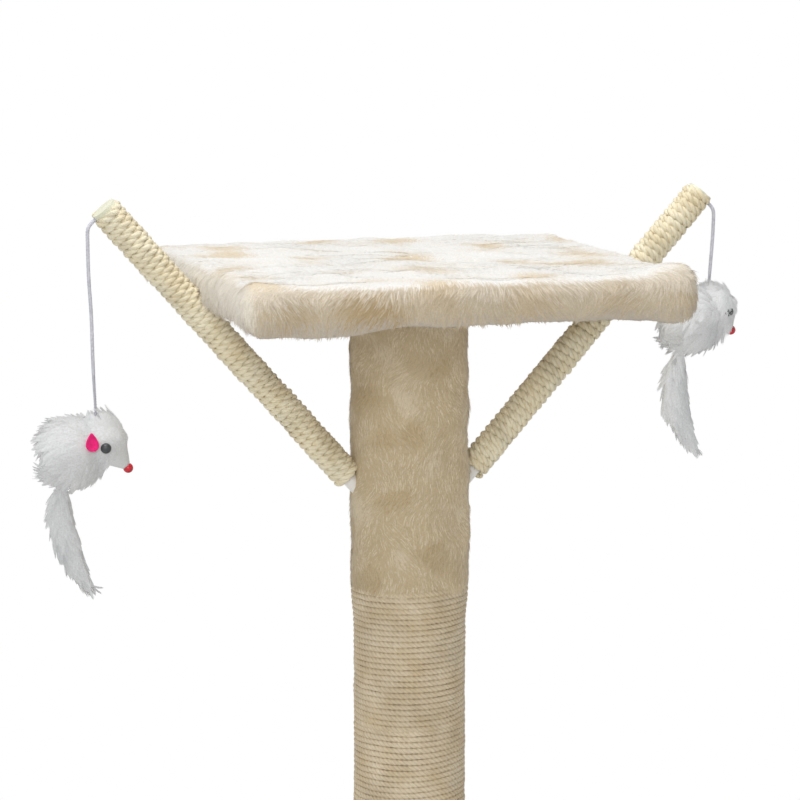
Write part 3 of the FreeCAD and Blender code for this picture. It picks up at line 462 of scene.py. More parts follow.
def cord_route(side_name, side, drops):
    """Points of a hanging cord: out of the branch's tip, over into the vertical, down to the toy's back."""
    exit_point = Vector(joint_point(side_name, "swing_front_back"))
    drop_top = Vector(joint_point(side_name, "swing_sideways"))
    run = 3.8 * MM
    dips = (BRANCH_ANGLE, (BRANCH_ANGLE + math.pi / 2) / 2)
    route = [exit_point]
    for dip in dips:
        route.append(route[-1] + Vector((side * math.cos(dip), 0, -math.sin(dip))) * run)
    route.append(drop_top)
    route += [drop_top + Vector((shift * MM, 0, -drop * MM)) for shift, drop in drops]
    return route


def spline_points(name, route):
    """Points along the NURBS spline that has the route as its control points."""
    data = bpy.data.curves.new(name, "CURVE")
    data.dimensions, data.resolution_u = "3D", 20
    spline = data.splines.new("NURBS")
    spline.points.add(len(route) - 1)
    for point, place in zip(spline.points, route):
        point.co = (*place, 1)
    spline.order_u = 3
    spline.use_endpoint_u = True
    line = bpy.data.objects.new(name, data)
    mesh = bpy.data.meshes.new_from_object(line)
    points = np.array([vertex.co for vertex in mesh.vertices])
    bpy.data.objects.remove(line)
    bpy.data.meshes.remove(mesh)
    return points


def path_frames(points):
    """Two directions square to a line at each of its points, turned as little as possible along it."""
    along = unit(np.gradient(points, axis=0))
    first = np.array((0.0, 1.0, 0.0))
    firsts = []
    for direction in along:
        first = unit(first - direction * (first @ direction))
        firsts.append(first)
    firsts = np.array(firsts)
    return firsts, np.cross(along, firsts)


def lobed_tube(points, first, second, radius, lay, sides=TUBE_SIDES, groove=0.24):
    """Points and faces of a three-strand twist round a line: a tube with three grooves and closed ends."""
    steps = run_along(points)
    turn = np.linspace(0, math.tau, sides, endpoint=False)[None]
    spin = turn + (math.tau * steps / lay)[:, None]
    reach = np.broadcast_to(radius, len(points))[:, None] * (1 - groove * (1 - np.abs(np.cos(1.5 * turn))))
    rings = points[:, None] + (reach * np.cos(spin))[..., None] * first[:, None] \
        + (reach * np.sin(spin))[..., None] * second[:, None]
    made = np.concatenate([rings.reshape(-1, 3), points[:1], points[-1:]])
    count = len(points) * sides
    here = np.arange(sides)
    following = (here + 1) % sides
    last = count - sides
    caps = np.concatenate([
        np.stack([np.full(sides, count), following, here], 1),
        np.stack([np.full(sides, count + 1), last + here, last + following], 1)])
    quads = ring_faces(len(points), sides)[:, ::-1]
    depth = np.concatenate([(reach / reach.max(1, keepdims=True)).ravel(), [1, 1]])
    return made, [quads, caps], steps, depth


def tube_uv(steps, sides, width):
    """UV of a tube's points: metres along it and strips round it, so that fibres run along."""
    rows = np.concatenate([np.repeat(steps, sides), [0, steps[-1]]])
    columns = np.concatenate([np.tile(np.arange(sides), len(steps)), [0, 0]]) * width
    return np.column_stack([rows, columns])


def set_fibre_uv(obj, point_uv):
    set_uv(obj, "Fibre", point_uv[read(obj.data.loops, "vertex_index", 1, np.int32)[:, 0]])


LEFT_DROPS = ((0.2, 26), (1.9, 52), (2.2, 77), (3.0, 103), (4.4, 128.9))
RIGHT_DROPS = ((-0.6, 16), (-2.0, 33), (-3.2, 52.5))
CORD_RADIUS, CORD_LAY, CORD_GROOVE = 1.3 * MM, 6 * MM, 0.1


def laid_cord(name, path):
    """A laid cord along a path, and the distance run along it."""
    points, faces, steps, _ = lobed_tube(path, *path_frames(path), CORD_RADIUS, CORD_LAY, groove=CORD_GROOVE)
    cord = mesh_object(name, points, faces, CORD)
    set_fibre_uv(cord, tube_uv(steps, TUBE_SIDES, FIBRE_STRIP))
    return cord, steps


def make_cord(side_name, side, drops):
    path = spline_points(f"{side_name}_cord_route", cord_route(side_name, side, drops))
    cord, steps = laid_cord(f"{side_name}_cord", path)
    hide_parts(f"{side_name}_string_bend", f"{side_name}_string_drop")
    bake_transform(cord)


def make_cord_end(side_name, side):
    """The cord's short way out of the branch's end plug, up to where it starts to swing."""
    exit_point = joint_point(side_name, "swing_front_back")
    outward = np.array((side * math.cos(BRANCH_ANGLE), 0, -math.sin(BRANCH_ANGLE)))
    path = exit_point + np.linspace(-3.6, 0.4, 6)[:, None] * MM * outward
    end, _ = laid_cord(f"{side_name}_cord_end", path)
    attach(end, "post")


make_camera()
for (cord_side, cord_sign), cord_drops in zip(SIDES, (LEFT_DROPS, RIGHT_DROPS)):
    make_cord(cord_side, cord_sign, cord_drops)
    make_cord_end(cord_side, cord_sign)


# Fur

LONG_HAIR = (0.0, 0.36, 0.7, 1.0)
SHORT_HAIR = (0.0, 0.5, 1.0)
NAP_HAIR = (0.0, 1.0)
HAIR_THICKNESS = 0.03 * MM
FINE_HAIR, TAIL_HAIR = 0.7 * MM, 0.9 * MM
SLEEVE_HAIRS, MOUSE_HAIRS, TAIL_HAIRS = 62000, 30000, 5200
CORNER_BULGE, EDGE_ROLL = 8.5 * MM, 2 * MM
SAG_DEPTH, SAG_PLACE, SAG_WIDTH = 3.8 * MM, -0.1, 0.035


def scatter(points, faces, count, rng, weight=None):
    """Seeded places on a surface, evenly by area or by a weight of each place, with their normals."""
    corners = triangles_of(faces)
    a, b, c = (points[corners[:, i]] for i in range(3))
    normals = vertex_normals(points, faces)
    area = np.linalg.norm(np.cross(b - a, c - a), axis=1)
    if weight is not None:
        area = area * weight((a + b + c) / 3, unit(normals[corners].sum(1)))
    pick = rng.choice(len(corners), count, p=area / area.sum())
    u, v = rng.random((2, count))
    over = u + v > 1
    u[over], v[over] = 1 - u[over], 1 - v[over]
    shares = np.stack([1 - u - v, u, v], 1)
    chosen = corners[pick]
    return (points[chosen] * shares[..., None]).sum(1), unit((normals[chosen] * shares[..., None]).sum(1))


def grow(roots, normals, flow, length, lift, jitter, clump, rng, clump_size=9, stations=LONG_HAIR,
         sink=0.0004):
    """Centre lines of hairs: out of the surface by lift, over along the flow, drawn together in locks."""
    count = len(roots)
    flow = unit(flow - normals * (flow * normals).sum(1, keepdims=True))
    length, lift = np.broadcast_to(length, count)[:, None], np.broadcast_to(lift, count)[:, None]
    rise = unit(flow * (1 - lift) + normals * lift + jitter * rng.normal(size=(count, 3)))
    lean = unit(flow + normals * lift * 0.3 + 1.3 * jitter * rng.normal(size=(count, 3)))
    start = roots - normals * sink
    middle = start + rise * length * 0.5
    tip = middle + lean * length * 0.5
    leaders = rng.choice(count, max(1, count // clump_size), replace=False)
    leader = leaders[nearest(roots[leaders], roots)[0]]
    middle = middle + (middle[leader] - middle) * clump * 0.35
    tip = tip + (tip[leader] - tip) * clump
    s = np.array(stations)[None, :, None]
    return (1 - s) ** 2 * start[:, None] + 2 * s * (1 - s) * middle[:, None] + s ** 2 * tip[:, None]


def fur_object(name, lines, normals, width, tints, painted_root_shade, material, rng, backed=False):
    """One mesh of flat tapered hairs along the lines, each with its own place in the bake's UV, darker
    towards its root as painted shade.
    """
    count, stations = lines.shape[:2]
    share = np.linspace(0, 1, stations)
    width = np.broadcast_to(width, count)[:, None, None] * rng.uniform(0.7, 1.3, (count, 1, 1))
    along = unit(np.gradient(lines, axis=1))
    facing = np.repeat(normals[:, None], stations, axis=1)
    across = unit(np.cross(along, facing) + 0.2 * rng.normal(size=(count, 1, 3)))
    taper = np.interp(share[:-1], (0, 0.35, 1), (0.85, 1.0, 0.4))
    half = 0.5 * width * taper[None, :, None] * across[:, :-1]
    pairs = np.stack([lines[:, :-1] - half, lines[:, :-1] + half], 2).reshape(count, -1, 3)
    points = np.concatenate([pairs, lines[:, -1:]], 1).reshape(-1, 3)
    each = 2 * stations - 1
    strip = [(at, at + 1, at + 3) for at in range(0, each - 3, 2)]
    strip += [(at, at + 3, at + 2) for at in range(0, each - 3, 2)] + [(each - 3, each - 2, each - 1)]
    faces = (np.array(strip)[None] + each * np.arange(count)[:, None, None]).reshape(-1, 3)
    level = np.append(np.repeat(np.arange(stations - 1), 2), stations - 1)
    # Painted shade: each hair darkens towards its root in place of the hairs' shade on each other, since the
    # fur casts no shadows.
    shade = painted_root_shade + (1.0 - painted_root_shade) * share[level] ** 0.8
    tints = np.clip(tints[:, None] * shade[None, :, None], 0, 1).reshape(-1, 3)
    own = unit(np.cross(across, along))
    soft = unit(0.86 * facing + 0.14 * own + 0.07 * rng.normal(size=(count, 1, 3)))
    turned = unit(soft - (0.2 + (soft * own).sum(2, keepdims=True)) * own)
    columns = math.ceil(math.sqrt(count))
    corner = np.stack([np.arange(count) % columns, np.arange(count) // columns], 1)[:, None]
    edge = np.append(np.tile((0.2, 0.8), stations - 1), 0.5)
    local = np.column_stack([edge, 0.1 + 0.8 * share[level]])
    uv = ((corner + local[None]) / columns).reshape(-1, 2)
    shading = soft[:, level].reshape(-1, 3)
    if backed:
        faces = np.concatenate([faces, faces[:, ::-1] + len(points)])
        points = np.concatenate([points, points - HAIR_THICKNESS * own[:, level].reshape(-1, 3)])
        shading = np.concatenate([shading, turned[:, level].reshape(-1, 3)])
        tints, uv = np.concatenate([tints, tints]), np.concatenate([uv, uv])
    made = mesh_object(name, points, [faces], material)
    set_tint(made, tints)
    made.data.normals_split_custom_set_from_vertices(shading.astype(np.float32))
    set_uv(made, "OFBake", uv[faces.ravel()])
    made.visible_shadow = made.visible_diffuse = False
    return made


def clear_of_branches(lines):
    """Which hairs keep clear of the rope-wound branches."""
    reach = BRANCH_REACH + 0.4 * MM
    keep = np.ones(len(lines), bool)
    for _, side in SIDES:
        along, off = branch_distance(lines, side)
        inside = (off < reach) & (along > WINDING_START - 2 * MM) & (along < BRANCH_END + 6 * MM)
        inside |= (off < ROD_REACH) & (along > ROD_START)
        keep &= ~inside.any(1)
    return keep


def finish_piece(obj, body, slot, *nodes):
    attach(obj, body)
    if nodes:
        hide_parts(*nodes)
    return obj


CREAM, IVORY, BEIGE = linear(250, 249, 247), linear(247, 243, 236), linear(230, 212, 182)
SIDE_CREAM, SIDE_PALE, SIDE_BEIGE = linear(236, 230, 218), linear(222, 211, 194), linear(204, 190, 166)
# PAINTED_HEM_SHADE is the grey of the painted shade at the covers' hem.
TAN, PAINTED_HEM_SHADE = linear(184, 158, 116), linear(202, 193, 182)
PLUSH, PLUSH_PALE, PLUSH_DARK = linear(206, 188, 156), linear(222, 208, 182), linear(184, 162, 126)


def cover_tint(points, normals, low, high, seed):
    """Cream on top with beige patches, tan down the sides where the pile opens, and greyer at the hem as
    painted shade.
    """
    top = smooth_step(0.55, 1.0, normals[:, 2])
    share = (points[:, 2] - low) / (high - low)
    patch = smooth_step(0.3, 1.9, waves(points, 0.062, seed))
    fleck = smooth_step(0.2, 1.4, waves(points, 0.028, seed + 1))
    upper = mix(mix(CREAM, IVORY, 0.7 * fleck), BEIGE, 0.85 * patch)
    tan = smooth_step(-0.7, 1.7, waves(points, 0.045, seed + 2)) * smooth_step(0.1, 0.35, share)
    tan = tan * (0.3 + 0.7 * smooth_step(0.06, -0.04, points[:, 0]))
    side = mix(mix(SIDE_PALE, SIDE_BEIGE, smooth_step(0.95, 0.5, share)), TAN, 0.8 * tan)
    # Painted shade: the lower part of each side, where the edge turns under, is greyed.
    side = mix(side, PAINTED_HEM_SHADE, 0.75 * smooth_step(0.4, 0.1, share))
    side = mix(side, SIDE_CREAM, 0.8 * smooth_step(0.2, 0.8, -normals[:, 0]) * smooth_step(0.1, 0.5, share))
    return mix(side, upper, top)


def cover_flow(points, normals, half, seed):
    """Which way a cover's pile lies: swirling on top, out towards the edges, and down the sides."""
    swirl = 0.9 * waves(points[:, :2], 0.16, seed)
    outward = unit(np.column_stack([points[:, :2], np.zeros(len(points))]))
    drift = outward * np.cos(swirl)[:, None] + np.cross(UP, outward) * np.sin(swirl)[:, None]
    edge = np.max(np.abs(points[:, :2]), axis=1)
    near = smooth_step(half - 0.05, half - 0.004, edge)[:, None]
    lean = 0.6 * waves(points, 0.05, seed + 3)
    down = -UP + lean[:, None] * np.cross(UP, outward)
    flat = drift * (1 - near) + outward * near * 1.4
    steep = smooth_step(0.75, 0.3, np.abs(normals[:, 2]))[:, None]
    return flat * (1 - steep) + down * steep


def plump_corners(points, half, low, high):
    """A cover's skin with the gathered cloth standing out at its corners and sagging under its front edge."""
    share = smooth_step(half - 0.036, half - 0.006, np.min(np.abs(points[:, :2]), axis=1))[:, None]
    level = ((points[:, 2] - low) / (high - low))[:, None]
    diagonal = np.column_stack([np.sign(points[:, :2]) * math.sqrt(0.5), np.zeros(len(points))])
    front_raise = np.where(points[:, :1] > 0, 0.0115 * level - 0.004, 0.0045 * level - 0.002)
    raised = np.where(points[:, 1:2] < 0, front_raise, -0.002 * level) * UP
    rolled = EDGE_ROLL * smooth_step(half - 0.05, half, points[:, 1])
    front = smooth_step(0.06 - half, 0.02 - half, points[:, 1]) * smooth_step(0.6, 0.1, level[:, 0])
    sag = SAG_DEPTH * front * np.exp(-((points[:, 0] - SAG_PLACE) / SAG_WIDTH) ** 2)
    outward = CORNER_BULGE * diagonal * np.sin(math.pi * (0.15 + 0.7 * level))
    return points + share * (outward + raised) - np.outer(sag + rolled * level[:, 0], UP)


def press_dents(points):
    """A cover's skin pressed in where the branches lean against it."""
    points = points.copy()
    for _, side in SIDES:
        inner = np.array((-side * math.cos(BRANCH_ANGLE), 0, math.sin(BRANCH_ANGLE)))
        reach = np.sqrt(np.maximum(DENT_REACH ** 2 - points[:, 1] ** 2, 0))
        depth = reach - (points - CROSSING) @ inner
        pressed = (reach > 0) & (depth > 0) & (depth < 2 * DENT_REACH) & (points[:, 0] * side > 0)
        points[pressed] += depth[pressed, None] * inner
    return points


def round_opening(points, inner):
    """A cover's skin with the rows next to its post opening drawn from squares into circles."""
    flat = points * np.array((1.0, 1.0, 0.0))
    edge = np.max(np.abs(flat), axis=1)
    share = smooth_step(inner + 0.03, inner, edge)[:, None]
    return points + share * (unit(flat) * (edge + 0.0025)[:, None] - flat)


def cover_pile(name, skin, half, low, high, upper, count, length, width, seed):
    """Pile of a cover: the short nap on its upper face, or the longer locks round its edge and below."""
    rng = np.random.default_rng(seed)

    def density(places, normals):
        level = normals[:, 2] > 0.72
        clear = (np.hypot(places[:, 0], places[:, 1]) > POST_CLEAR) | (places[:, 2] > PLATFORM_TOP - 0.004)
        return (level == upper) * clear * np.where(normals[:, 2] < -0.6, 0.35, 1.0) + 1e-9

    roots, facing = scatter(*skin, count, rng, density)
    below = smooth_step(-0.3, -0.8, facing[:, 2])
    length = length * (1 - 0.4 * below) * rng.uniform(0.75, 1.25, count)
    if upper:
        lift, jitter, clump, stations, sink = 0.12, 0.025, 0.3, NAP_HAIR, 0.0
    else:
        lift, jitter, clump, stations, sink = 0.2 - 0.05 * below, 0.1, 0.4, SHORT_HAIR, 0.0004
    flow = cover_flow(roots, facing, half, seed)
    lines = grow(roots, facing, flow, length, lift, jitter, clump, rng, 10, stations, sink)
    lines[..., 2] = np.maximum(lines[..., 2], 0.0006 + 0.001 * rng.random((count, 1)))
    keep = clear_of_branches(lines)
    dyed = roots + rng.normal(scale=0.004, size=(count, 3))
    tints = cover_tint(dyed, facing, low, high, seed // 10) * rng.uniform(0.95, 1.04, (count, 1))
    # The 0.88 is the painted shade at the hairs' roots.
    fur = fur_object(name, lines[keep], facing[keep], width, tints[keep], 0.88, CREAM_FUR, rng, True)
    return finish_piece(fur, "post", "cream_plush")


def make_cover(name, size, profile, node, piles, seed, closed):
    """Plush over a board: the stretched cloth and its pile."""
    half, corner, low, high = size
    points, faces = square_skin(half, corner, profile)
    normals = vertex_normals(points, faces)
    swell = 0.0004 * waves(points, 0.03, seed) + 0.0005 * waves(points, 0.09, seed + 1)
    points = points + normals * swell[:, None]
    if closed:
        points = press_dents(plump_corners(points, half, low, high))
        shown = closed_top(points, faces, len(points) // len(profile))
    else:
        points = round_opening(points, half - max(inset for inset, _ in profile))
        shown = (points, [faces])
    cloth = finish_piece(mesh_object(f"{name}_cloth", *shown, CREAM_BACKING), "post", "cream_plush", node)
    facing = np.concatenate([vertex_normals(points, faces), [UP]])[:len(shown[0])]
    set_tint(cloth, cover_tint(shown[0], facing, low, high, seed))
    for index, (label, upper, count, length, width) in enumerate(piles):
        cover_pile(f"{name}_{label}", (points, faces), half, low, high, upper, count,
                               length, width, 10 * seed + index)


def inward(start, stop, height, steps):
    """Flat rows of a profile, from one inset to another at one height."""
    return [(inset, height) for inset in np.linspace(start, stop, steps)]


PLATFORM_PROFILE = (
    inward(PLATFORM_HALF - 0.0005, 0.011, PLATFORM_TOP, 24)
    + arc_profile(0.008, 0.008, PLATFORM_TOP, True)
    + [(0.0, PLATFORM_LOW + 0.0155)]
    + arc_profile(0.012, 0.0, PLATFORM_LOW + 0.012, False)
    + inward(0.0155, 0.0357, PLATFORM_LOW, 5))
UNDERSIDE_PROFILE = inward(0.0363, PLATFORM_HALF - 0.03, PLATFORM_LOW, 12)
BASE_PROFILE = (
    inward(BASE_HALF - 0.034, 0.008, BASE_TOP, 24)
    + arc_profile(0.005, 0.005, BASE_TOP, True)
    + [(0.0, BASE_LOW + 0.009)]
    + arc_profile(0.003, 0.0, BASE_LOW + 0.003, False)
    + inward(0.008, 0.033, BASE_LOW, 4)
    + [(0.0335, BASE_LOW + 0.003)])
PLATFORM_SIZE = (PLATFORM_HALF, PLATFORM_CORNER, PLATFORM_LOW, PLATFORM_TOP)
BASE_SIZE = (BASE_HALF, BASE_CORNER, BASE_LOW, BASE_TOP)
make_cover("platform", PLATFORM_SIZE, PLATFORM_PROFILE, "platform_plush_cover",
           (("nap", True, 80000, 0.0055, 0.0011), ("locks", False, 33000, 0.0085, 0.0008)), 11, True)
make_cover("platform_underside", PLATFORM_SIZE, UNDERSIDE_PROFILE, "platform_underside_plush",
           (("pile", False, 14000, 0.0080, 0.0011),), 21, False)
make_cover("base", BASE_SIZE, BASE_PROFILE, "base_plush_cover",
           (("nap", True, 80000, 0.0065, 0.0013), ("locks", False, 22000, 0.0080, 0.0010)), 31, False)


def make_sleeve():
    """Beige plush round the upper post, its pile brushed down over the rope's top turn."""
    rng = np.random.default_rng(51)
    rows, columns = 60, 96
    heights = np.concatenate([
        np.linspace(PLATFORM_LOW, SLEEVE_LOW + 0.002, rows), [SLEEVE_LOW + 0.0005, SLEEVE_LOW]])
    radii = np.concatenate([np.full(rows, SLEEVE_RADIUS), [SLEEVE_RADIUS - 0.0006, TUBE_RADIUS]])
    turn = np.linspace(0, math.tau, columns, endpoint=False)
    points = np.concatenate([
        np.column_stack([radius * np.cos(turn), radius * np.sin(turn), np.full(columns, height)])
        for radius, height in zip(radii, heights)])
    faces = ring_faces(len(heights), columns)
    swell = vertex_normals(points, faces) * (0.0005 * waves(points, 0.035, 52))[:, None]
    points[:rows * columns] += swell[:rows * columns]
    cloth = mesh_object("post_sleeve_cloth", points, [faces], BEIGE_BACKING)
    finish_piece(cloth, "post", "beige_plush", "post_plush_sleeve")
    set_tint(cloth, np.tile(PLUSH, (len(points), 1)))
    count = SLEEVE_HAIRS
    roots, facing = scatter(points, faces, count, rng)
    around = np.cross(UP, facing)
    flow = -UP + 0.5 * waves(roots, 0.04, 53)[:, None] * around
    length = 0.0062 * rng.uniform(0.7, 1.3, count)
    lift = 0.2 + 0.05 * waves(roots, 0.02, 54)
    lines = grow(roots, facing, flow, length, lift, 0.09, 0.35, rng, 9, SHORT_HAIR)
    keep = clear_of_branches(lines) & (lines[:, :, 2].max(1) < PLATFORM_LOW + 0.004)
    pale = smooth_step(0.3, 1.6, waves(roots, 0.034, 55))
    dark = smooth_step(0.3, 1.6, waves(roots, 0.03, 56))
    pale = np.maximum(pale, 1.2 * (rng.random(count) < 0.25))
    tints = mix(mix(PLUSH, PLUSH_PALE, 0.9 * pale), PLUSH_DARK, 0.6 * dark)
    tints = tints * rng.uniform(0.92, 1.06, (count, 1))
    # Painted light: the pile is lightened a little all round and up to a sixth more on its right side, as
    # though lit from the right too.
    tints = tints * (1.03 + 0.16 * smooth_step(0, SLEEVE_RADIUS, roots[:, :1]))
    # The 0.88 is the painted shade at the hairs' roots.
    fur = fur_object("post_sleeve_fur", lines[keep], facing[keep], FINE_HAIR, tints[keep], 0.88,
                     BEIGE_FUR, rng)
    finish_piece(fur, "post", "beige_plush")


make_sleeve()


# Ropes

def helix(radius, pitch, turns, start_turn, handed, spacing):
    """A winding about the Z axis from height 0: its points, and the directions out and along the axis."""
    count = int(turns * math.hypot(math.tau * radius, pitch) / spacing)
    angle = np.linspace(0, math.tau * turns, count)
    swept = handed * angle + start_turn
    out = np.column_stack([np.cos(swept), np.sin(swept), np.zeros(count)])
    points = radius * out + np.outer(pitch * angle / math.tau, UP)
    ahead = unit(np.gradient(points, axis=0))
    return points, out, np.cross(ahead, out)


def pressed_flat(shape, points, sides, share):
    """A winding's tube made wider along the axis, as tight turns press together."""
    level = np.concatenate([np.repeat(points[:, 2], sides), points[[0, -1], 2]])
    return np.column_stack([shape[:, :2], level + share * (shape[:, 2] - level)])


def make_rope(node, shape, faces, fibre_uv, shade, material, slot):
    """A rope's strands in place of its node, darker where its shade is less than 1: painted shade in its
    grooves and on its inner side, with some random tone.
    """
    rope = mesh_object(f"{node}_strands", shape, faces, material)
    set_fibre_uv(rope, fibre_uv)
    set_tint(rope, np.clip(np.repeat(shade[:, None], 3, 1), 0, 1))
    finish_piece(rope, "post", slot, node)


def make_post_ropes():
    """Sisal wound round the lower post in four lengths that butt at their staples."""
    radius, pitch, turns, rope_radius = 0.037875, 0.0040, 24.96, 0.001775
    lay, spacing, flare_reach = 0.0105, 0.0017, 0.0018
    for index in range(4):
        name = f"post_rope_{index + 1}"
        low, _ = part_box(name)
        points, out, across = helix(radius, pitch, turns, 0, 1, spacing)
        points = points + np.array((0, 0, low.z + rope_radius))
        flare = flare_reach * smooth_step(SLEEVE_LOW - 0.026, SLEEVE_LOW - 0.004, points[:, 2])
        wander = 0.00012 * waves(points, 0.02, 60 + index) + flare
        rise = 0.0004 * waves(points, 0.07, 70 + index)
        points = points + out * wander[:, None] + UP * rise[:, None]
        size = rope_radius * 1.12 * (1 + 0.05 * waves(points, 0.012, 80 + index))
        shape, faces, steps, depth = lobed_tube(points, out, across, size, lay)
        shape = pressed_flat(shape, points, TUBE_SIDES, 1.2)
        # Painted shade: darker in the grooves between the rope's lobes; the waves add random tone.
        shade = np.clip(0.82 + 0.2 * (depth - 0.76) / 0.24, 0.8, 1)
        shade = shade * (1 + 0.04 * waves(shape, 0.03, 90 + index))
        make_rope(name, shape, faces, tube_uv(steps, TUBE_SIDES, FIBRE_STRIP), shade, SISAL, "sisal")


def branch_place(points, side):
    """Points along +Z put on a branch: Z out along it, and X upwards on its outer face."""
    direction = branch_direction(side)
    across = np.array((0.0, 1.0, 0.0))
    return points @ np.stack([np.cross(across, direction), across, direction])


def make_branch_ropes():
    """Pale sisal wound round each branch: three laid strands to a rope, in three lengths with small gaps."""
    radius, pitch, rope_radius, gap = 0.008575, 0.0054, 0.002475, 0.001
    lengths = {"left": (15, 24, 5), "right": (22, 18, 4)}
    strand_radius, strand_offset, lay, sides = 0.00145, 0.00118, 0.018, 8
    for side_name, side in SIDES:
        along = WINDING_START
        for place, turns in zip(("lower", "middle", "tip"), lengths[side_name]):
            name = f"{side_name}_branch_rope_{place}"
            seed = 100 + 10 * len(name) + side
            overlap = 0.9 if place == "tip" else 1.06
            points, out, across = helix(radius, pitch, turns + overlap, math.pi if side < 0 else 0, 1, 0.0011)
            points = points + out * (0.00016 * waves(points, 0.012, seed))[:, None]
            points = points + UP * (0.0003 * waves(points, 0.03, seed + 1))[:, None]
            points[:, 2] += along + rope_radius
            steps = run_along(points)
            shapes, face_sets, uvs, shades, begin = [], [], [], [], 0
            for strand in range(3):
                spin = math.tau * (steps / lay + strand / 3)
                shift = strand_offset * (np.cos(spin)[:, None] * out + np.sin(spin)[:, None] * across)
                size = strand_radius * (1 + 0.07 * waves(points, 0.009, seed + 2 + strand))
                shape, faces, run, _ = lobed_tube(points + shift, out, across, size, 0.008, sides, 0.0)
                shape = pressed_flat(shape, points, sides, 1.3)
                shapes.append(shape)
                face_sets.append([group + begin for group in faces])
                uvs.append(tube_uv(run, sides, 1.1 * MM) + np.array((0, 0.013 * strand)))
                # Painted shade: each strand is darker on its inner side, towards the branch; the waves add
                # random tone.
                inner = np.linalg.norm(shape[:, :2], axis=1)
                shades.append(np.clip(0.84 + 0.16 * (inner - 0.0072) / 0.003, 0.8, 1)
                              * (1 + 0.05 * waves(shape, 0.02, seed + 5)))
                begin += len(shape)
            shape = branch_place(np.concatenate(shapes), side) + CROSSING
            faces = [np.concatenate(groups) for groups in zip(*face_sets)]
            make_rope(name, shape, faces, np.concatenate(uvs), np.concatenate(shades), PALE_SISAL,
                      "pale_sisal")
            along += pitch * turns + 2 * rope_radius + gap


make_post_ropes()
make_branch_ropes()


# Toy mice

TAIL_SETTLE = {"left": 3 * MM, "right": 8 * MM}
TAIL_BOW = {"left": 1 * MM, "right": 5 * MM}
TAIL_SPREAD = {"left": 1.1, "right": 1.35}
TAIL_ROOT_SLOPE, TAIL_TIP_SLOPE = -8 / 73, 46 / 73
BACK_RISE = 5.2 * MM
EAR_HEIGHT, EAR_HALF_WIDTH, EAR_THICKNESS = 12.5 * MM, 4.9 * MM, 1.1 * MM
FUR_WHITE, FUR_GREY = linear(219, 221, 223), linear(203, 206, 209)


def soft_skin(nodes, voxel, rounds):
    """One closed skin round copies of these CAD nodes, remeshed and smoothed: its points and triangles."""
    clouds, corner_sets, begin = [], [], 0
    for name in nodes:
        mesh = NODES[name].data
        mesh.calc_loop_triangles()
        clouds.append(read(mesh.vertices, "co", 3, np.float32))
        corner_sets.append(read(mesh.loop_triangles, "vertices", 3, np.int32) + begin)
        begin += len(mesh.vertices)
    rough = mesh_object("rough_skin", np.concatenate(clouds), [np.concatenate(corner_sets)], WHITE_BACKING)
    weld = rough.modifiers.new("weld", "WELD")
    weld.merge_threshold = WELD_REACH
    remesh = rough.modifiers.new("remesh", "REMESH")
    remesh.mode, remesh.voxel_size = "VOXEL", voxel
    relax = rough.modifiers.new("relax", "SMOOTH")
    relax.factor, relax.iterations = 0.5, rounds
    triangulate = rough.modifiers.new("triangles", "TRIANGULATE")
    triangulate.min_vertices = 4
    mesh = bpy.data.meshes.new_from_object(rough.evaluated_get(bpy.context.evaluated_depsgraph_get()))
    points = read(mesh.vertices, "co", 3, np.float32).astype(float)
    faces = read(mesh.polygons, "vertices", 3, np.int32)
    bpy.data.meshes.remove(mesh)
    bpy.data.objects.remove(rough)
    return points, faces


def node_points(name):
    return read(NODES[name].data.vertices, "co", 3, np.float32).astype(float)


def ear_petal(name, cloud, outward, stand, curl, body):
    """A cupped felt ear on the CAD ear's plane, pointed at its top, standing a little off the fur."""
    centre = cloud.mean(0)
    _, _, axes = np.linalg.svd(cloud - centre, full_matrices=False)
    facing = axes[2] * np.sign(axes[2] @ outward)
    tall = axes[0] * np.sign(axes[0] @ UP)
    wide = np.cross(tall, facing)
    rows, columns = 15, 11
    v, u = np.meshgrid(np.linspace(0.0, 1, rows), np.linspace(-1, 1, columns), indexing="ij")
    outline = EAR_HALF_WIDTH * (np.sin(math.pi * np.clip(v, 0.02, 0.985) ** 0.62)) ** 0.75
    cup = curl * (1.5 * MM * (u ** 2 - 0.6) * np.sin(math.pi * v) + 1.8 * MM * v ** 2)
    places = centre + (u * outline)[..., None] * wide + ((v - 0.5) * EAR_HEIGHT)[..., None] * tall \
        + (cup + stand)[..., None] * facing
    row = np.arange(rows - 1)[:, None] * columns
    here = np.arange(columns - 1)[None]
    quads = np.stack([row + here, row + here + 1, row + columns + here + 1, row + columns + here], -1)
    ear = mesh_object(name, places.reshape(-1, 3), [quads.reshape(-1, 4)], PINK_FELT)
    thick = ear.modifiers.new("thickness", "SOLIDIFY")
    thick.thickness, thick.offset = EAR_THICKNESS, 0
    soft = ear.modifiers.new("soft_edge", "SUBSURF")
    soft.levels = soft.render_levels = 1
    return finish_piece(ear, body, "pink_felt")


